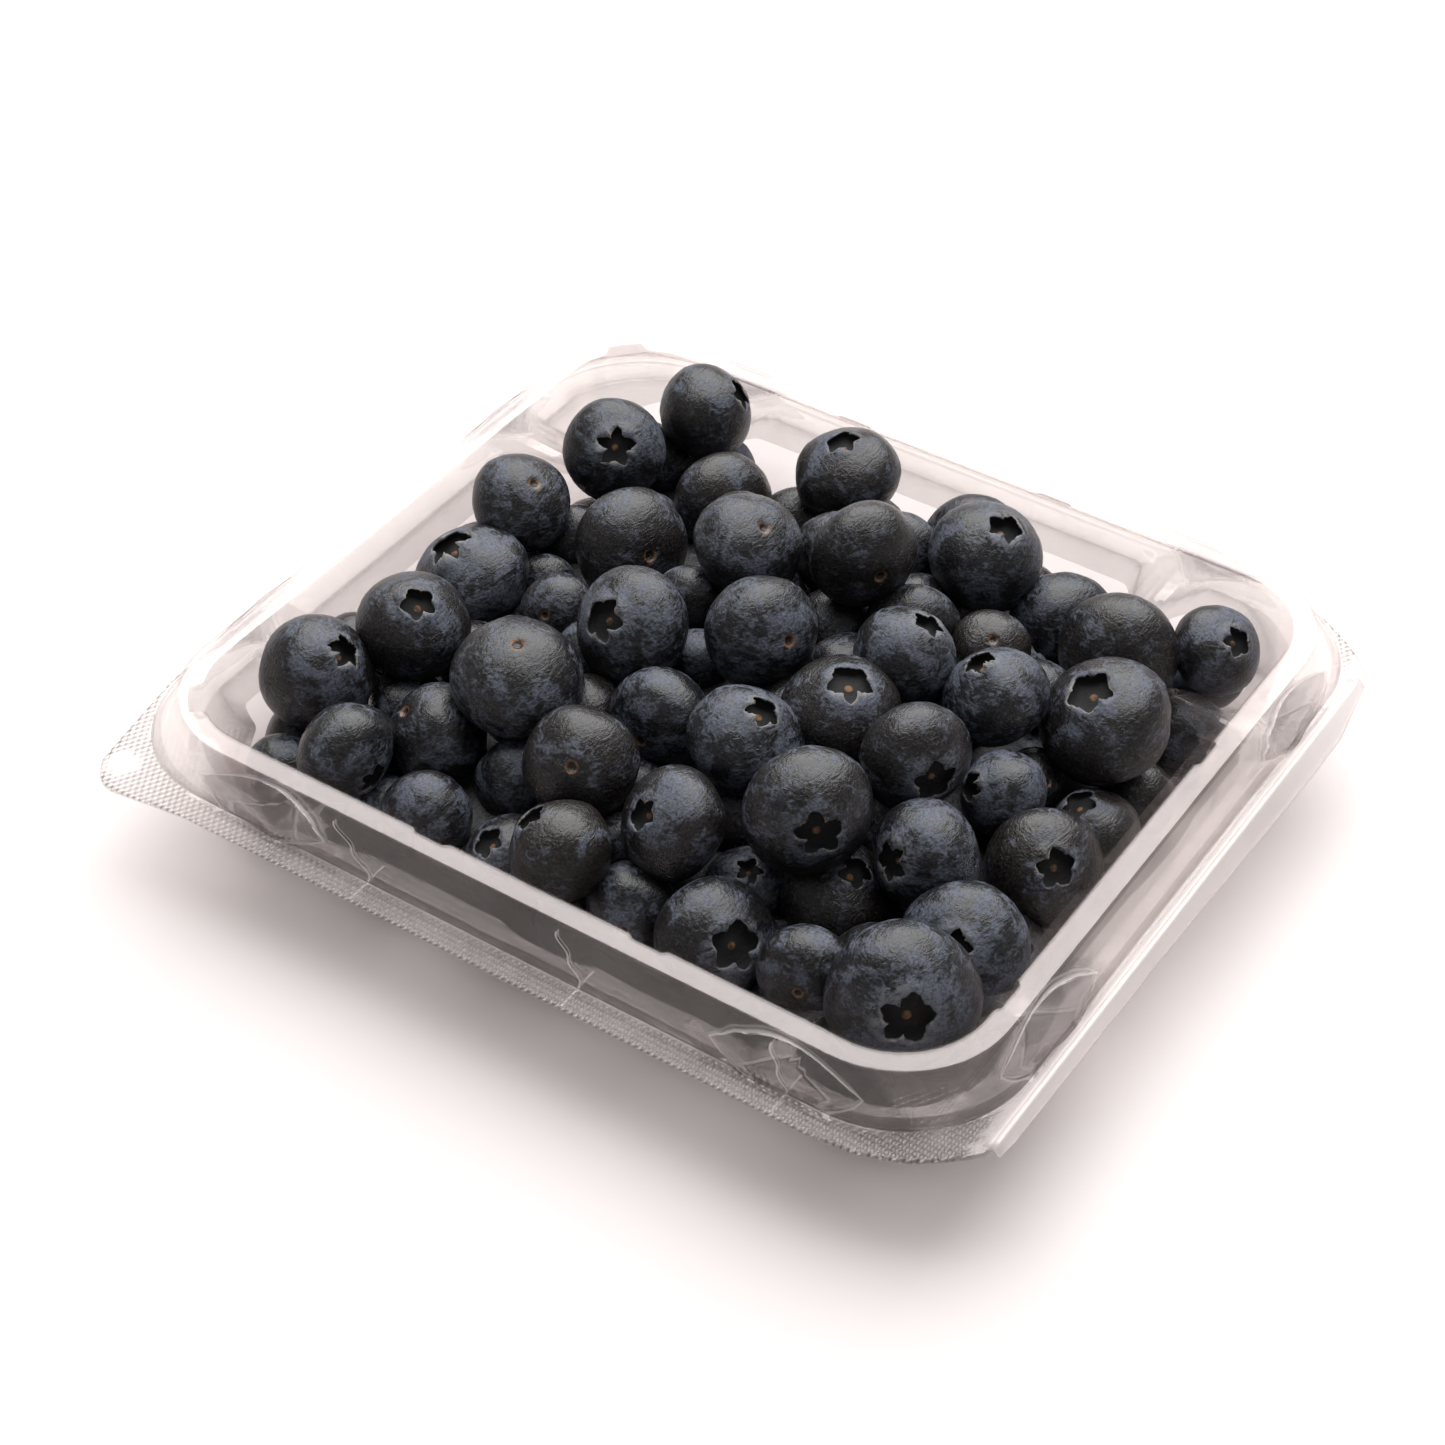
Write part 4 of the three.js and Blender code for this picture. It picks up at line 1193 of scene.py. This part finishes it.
    def bury(self, on_top: list[Berry], seen: np.ndarray) -> list[Berry]:
        """Wedges berries in between and under those on top, from the dome down wherever one fits.

        Args:
            on_top: the berries on top.
            seen: their places, half widths and depths in the view.

        Returns:
            The buried berries.
        """
        draw = Draws(self.seed)
        buried: list[Berry] = []
        middles = np.array([berry.middle for berry in on_top])
        radii = np.array([berry.radius for berry in on_top])
        for trial in range(self.trials):
            radius = self.least + (self.most - self.least) * draw()
            place = np.array([[(2 * draw() - 1) * self.half_x, (2 * draw() - 1) * self.half_y]])
            under = self.high + (self.low - self.high) * (trial / self.trials)
            start = np.column_stack((place, self.dome(place) - under))
            middle = self.clear_of_tub(start, np.array([radius]))[0]
            gaps = np.linalg.norm(middles - middle, axis=1)
            if (gaps <= self.buried_squash * (radii + radius)).any() or self.shows_wrongly(seen, middle, radius):
                continue
            pole = np.array([draw() - 0.5, draw() - 0.5, draw() - 0.5])
            pole /= np.linalg.norm(pole)
            buried.append(Berry(middle, pole, radius * 1.04, radius * 0.9))
            middles = np.vstack((middles, middle))
            radii = np.append(radii, radius)
        return buried


@dataclass
class BerryMaker:
    """Makes berries as one joined mesh: flattened balls with a calyx cup, lobes and a stem scar."""

    name: str
    sides: int
    levels: int
    seed: int
    cup_radius: float = 0.36
    cup_depth: float = 0.24

    def profile(
        self, share: float, cup: float, star: float, lift: float
    ) -> tuple[float, float, tuple[float, float, float]]:
        """The berry's section from the middle of its calyx to its stem scar.

        Args:
            share: how far along, from 0 to 1.
            cup: the calyx cup's radius.
            star: how far in this calyx lobe reaches, from 0 for a notch to 1 for its tip.
            lift: how high the lobe stands.

        Returns:
            Distance from the axis and height, for a ball of radius 1, and the marks for the cup,
            for brown scar tissue and for a pale lobe edge.
        """
        depth = self.cup_depth
        lip = cup * (1.05 - 0.55 * star)
        rim = math.sqrt(1 - (cup * 1.15) ** 2)
        knots = (
            (0.0, 0.0, 1 - depth + 0.03, (1.0, 0.5, 0.0)),
            (0.033, 0.045, 1 - depth + 0.025, (1.0, 0.45, 0.0)),
            (0.067, 0.085, 1 - depth, (1.0, 0.0, 0.0)),
            (0.133, cup * 0.85, 1 - depth - 0.01, (1.0, 0.0, 0.0)),
            (0.167, cup * 1.03, 1 - depth + 0.04, (1.0, 0.0, 0.0)),
            (0.2, cup * 1.04, rim - 0.04, (1.0, 0.0, 0.0)),
            (0.233, lip, rim + 0.01 + lift * 0.7 * star, (0.8, 0.0, 0.3)),
            (0.267, lip + 0.02, rim + 0.025 + lift * star, (0.0, 0.0, 1.0)),
            (0.3, cup * 1.12, rim + 0.03 + lift * 0.25 * star, (0.0, 0.0, 0.6)),
            (0.35, cup * 1.35, math.sqrt(1 - (cup * 1.35) ** 2), (0.0, 0.0, 0.25)),
        )
        stem = (
            (0.867, math.sin(0.21), -math.cos(0.21), (0.0, 0.0, 0.0)),
            (0.9, 0.145, -0.985, (0.0, 0.0, 0.0)),
            (0.933, 0.100, -0.972, (0.0, 0.5, 0.0)),
            (0.967, 0.060, -0.925, (0.0, 1.0, 0.0)),
            (1.0, 0.0, -0.910, (0.0, 1.0, 0.0)),
        )
        if share <= knots[-1][0]:
            return self.between(knots, share)
        if share >= stem[0][0]:
            return self.between(stem, share)
        start = math.asin(cup * 1.35)
        part = (share - knots[-1][0]) / (stem[0][0] - knots[-1][0])
        angle = start + (math.pi - 0.21 - start) * part
        return math.sin(angle), math.cos(angle), (0.0, 0.0, max(0.0, 0.25 - (angle - start)))

    def between(
        self, knots: tuple[tuple[float, float, float, tuple[float, float, float]], ...], share: float
    ) -> tuple[float, float, tuple[float, float, float]]:
        """Reads a run of knots at a place between them.

        Args:
            knots: places along the section, each with its distance from the axis, height and marks.
            share: the place.

        Returns:
            The distance from the axis, the height and the marks there.
        """
        for low, high in zip(knots, knots[1:]):
            if share <= high[0] + 1e-6:
                break
        part = min(1.0, max(0.0, (share - low[0]) / (high[0] - low[0])))
        marks = tuple(one + (two - one) * part for one, two in zip(low[3], high[3]))
        return low[1] + (high[1] - low[1]) * part, low[2] + (high[2] - low[2]) * part, marks

    def add_berry(self, mesh: bmesh.types.BMesh, ball: bpy.types.Mesh, berry: Berry, draw: Draws) -> None:
        """Adds one berry to the mesh.

        Args:
            mesh: the mesh, in millimetres.
            ball: a plain ball of radius 1, with this maker's sides and levels.
            berry: the berry.
            draw: the run of draws for its unevenness.
        """
        marks = mesh.verts.layers.float_color["berry_marks"]
        before = len(mesh.verts)
        mesh.from_mesh(ball)
        mesh.verts.ensure_lookup_table()
        lobes = [0.45 + 0.65 * draw() for _ in range(5)]
        lift = 0.02 + 0.17 * draw()
        twist, lot = 2 * math.pi * draw(), draw()
        nudge = Vector((draw() * 50, draw() * 50, draw() * 50))
        pinch = 0.04 + 0.05 * draw()
        cup_radius, sharp = self.cup_radius * (0.78 + 0.34 * draw()), 0.55 + 0.75 * draw()
        turned = Vector((0.0, 0.0, 1.0)).rotation_difference(Vector(berry.pole))
        for vert in mesh.verts[before:]:
            share = math.acos(max(-1.0, min(1.0, vert.co.z))) / math.pi
            angle = math.atan2(vert.co.y, vert.co.x)
            place = ((angle + twist) / (2 * math.pi) * 5) % 5
            from_notch = 1 - abs(2 * (place % 1) - 1)
            ragged = 1 + 0.55 * noise.noise(Vector((6 * math.cos(angle), 6 * math.sin(angle), 9 * lot)))
            star = lobes[int(place)] * ragged * from_notch**sharp
            out, height, (cup, scar, lobe) = self.profile(share, cup_radius, star, lift)
            point = Vector((out * math.cos(angle), out * math.sin(angle), height))
            swell = 1 + pinch * noise.noise(point * 1.1 + nudge) + 0.012 * noise.noise(point * 3.5 + nudge)
            point = Vector((point.x * berry.wide, point.y * berry.wide, point.z * berry.tall)) * swell
            vert.co = turned @ point + Vector(berry.middle)
            vert[marks] = (cup, scar, lot, lobe)

    def build(self, berries: list[Berry], finish: bpy.types.Material) -> bpy.types.Object:
        """Makes the berries as one piece.

        Args:
            berries: where they lie.
            finish: the skin's material.

        Returns:
            The finished piece.
        """
        plain = bmesh.new()
        bmesh.ops.create_uvsphere(plain, u_segments=self.sides, v_segments=self.levels, radius=1.0)
        ball = bpy.data.meshes.new("plain_ball")
        plain.to_mesh(ball)
        plain.free()
        mesh = bmesh.new()
        mesh.verts.layers.float_color.new("berry_marks")
        draw = Draws(self.seed)
        for berry in berries:
            self.add_berry(mesh, ball, berry, draw)
        bpy.data.meshes.remove(ball)
        return finished_piece(self.name, mesh, finish)


@dataclass
class HeapCore:
    """The dark mass of fruit under the berries, as deep below them as the solid's core; its darkness is painted shade
    for the deep gaps.
    """

    inset: float = 10.0
    base: float = 3.2
    sunk: float = 10.0
    lumps: float = 1.2

    def build(self, layout: HeapLayout, finish: bpy.types.Material) -> bpy.types.Object:
        """Shapes a block to the heap's dome and gives it lumps of the berries' size.

        Args:
            layout: the heap's layout.
            finish: the skin's material.

        Returns:
            The finished core.
        """
        mesh = bmesh.new()
        bmesh.ops.create_cube(mesh, size=2.0)
        bmesh.ops.subdivide_edges(mesh, edges=mesh.edges[:], cuts=39, use_grid_fill=True)
        reach_x, reach_y = layout.half_x - self.inset, layout.half_y - self.inset
        marks = mesh.verts.layers.float_color.new("berry_marks")
        for vert in mesh.verts:
            round_off = (abs(vert.co.x) ** 4 + abs(vert.co.y) ** 4) ** 0.25 / max(abs(vert.co.x), abs(vert.co.y), 1e-6)
            x, y = vert.co.x / round_off * reach_x, vert.co.y / round_off * reach_y
            share = (vert.co.z + 1) / 2
            top = float(layout.dome(np.array([[x, y]]))[0]) - self.sunk
            lump = self.lumps * (noise.noise(Vector((x, y, 8 * share)) * 0.16) - 0.4) * share
            vert.co = Vector((x, y, self.base + (top - self.base) * share + lump))
            # the cup channel at 0.6 gives the core the calyx cup's dark finish: painted shade for the gaps deep in the
            # heap
            vert[marks] = (0.6, 0.0, 0.0, 0.0)
        bmesh.ops.recalc_face_normals(mesh, faces=mesh.faces)
        return finished_piece("heap_core", mesh, finish)


# ---------------------------------------------------------------- the setting


@dataclass
class Setting:
    """The pale floor, the soft light and the sky round the punnet."""

    floor_colour: tuple[float, float, float, float] = (0.70, 0.652, 0.642, 1.0)
    floor_half: float = 3.0

    def build(self) -> None:
        """Lays the floor and hangs the lights."""
        mesh = bmesh.new()
        bmesh.ops.create_grid(mesh, x_segments=2, y_segments=2, size=self.floor_half / MM)
        graph = NodeGraph("pale_floor")
        shade = graph.mix(graph.noise(3.0), self.floor_colour, tuple(c * 0.99 for c in self.floor_colour[:3]) + (1.0,))
        graph.join(shade, graph.shader.inputs["Base Color"])
        graph.shader.inputs["Roughness"].default_value = 0.8
        graph.shader.inputs["Specular IOR Level"].default_value = 0.2
        floor = finished_piece("floor", mesh, graph.material, smooth=False)
        world = bpy.data.worlds.new("soft_sky")
        world.use_nodes = True
        sky = world.node_tree.nodes["Background"]
        sky.inputs["Color"].default_value = (1.0, 1.0, 1.0, 1.0)
        sky.inputs["Strength"].default_value = 0.30
        bpy.context.scene.world = world
        self.lamp("overhead_light", (-0.20, 0.50, 0.94), 1.45, 33.0)

    def lamp(self, name: str, place: tuple[float, float, float], size: float, power: float) -> None:
        """Hangs one square soft light that faces the punnet.

        Args:
            name: its name.
            place: where it hangs, in metres.
            size: its width, in metres.
            power: its power, in watts.
        """
        data = bpy.data.lights.new(name, "AREA")
        data.size = size
        data.energy = power
        lamp = bpy.data.objects.new(name, data)
        lamp.location = place
        lamp.rotation_euler = (Vector((0.0, 0.0, 0.02)) - Vector(place)).to_track_quat("-Z", "Y").to_euler()
        bpy.context.collection.objects.link(lamp)


def finished_piece(
    name: str, mesh: bmesh.types.BMesh, finish: bpy.types.Material, smooth: bool = True
) -> bpy.types.Object:
    """Turns a mesh in millimetres into a finished piece at the origin.

    Args:
        name: the piece's name.
        mesh: its mesh, which is used up.
        finish: its material.
        smooth: whether its faces are shaded smooth.

    Returns:
        The piece.
    """
    bmesh.ops.scale(mesh, vec=(MM, MM, MM), verts=mesh.verts)
    data = bpy.data.meshes.new(name)
    mesh.to_mesh(data)
    mesh.free()
    for face in data.polygons:
        face.use_smooth = smooth
    data.materials.append(finish)
    piece = bpy.data.objects.new(name, data)
    bpy.context.collection.objects.link(piece)
    LOG.info("%s: %d faces", name, len(data.polygons))
    return piece


def main() -> None:
    """Builds the punnet in order."""
    logging.basicConfig(level=logging.INFO, format="%(message)s")
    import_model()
    Viewpoint().make_camera()
    bpy.context.scene.view_settings.view_transform = "Standard"
    bpy.context.scene.cycles.transparent_max_bounces = 32

    sheet = ClearSheet().build()
    tray = FormedTray().build(sheet)
    strip = LidStrip().build(sheet)
    for piece in (tray, strip):
        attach(piece, "root")
        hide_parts("punnet_tray")

    layout = HeapLayout(Viewpoint(turn=33.8, lift=41.7, eye=(175.1, -269.8, 294.8)))
    on_top, seen = layout.settle()
    buried = layout.bury(on_top, seen)
    LOG.info("%d berries on top, %d buried", len(on_top), len(buried))
    skin = BerrySkin().build()
    top_piece = BerryMaker("berries_on_top", 50, 30, 11).build(on_top, skin)
    buried_piece = BerryMaker("berries_buried", 40, 24, 12).build(buried, skin)
    core = HeapCore().build(layout, skin)
    for piece in (top_piece, buried_piece, core):
        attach(piece, "root")
        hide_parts("berry_heap")

    Setting().build()


if __name__ == "__main__":
    main()
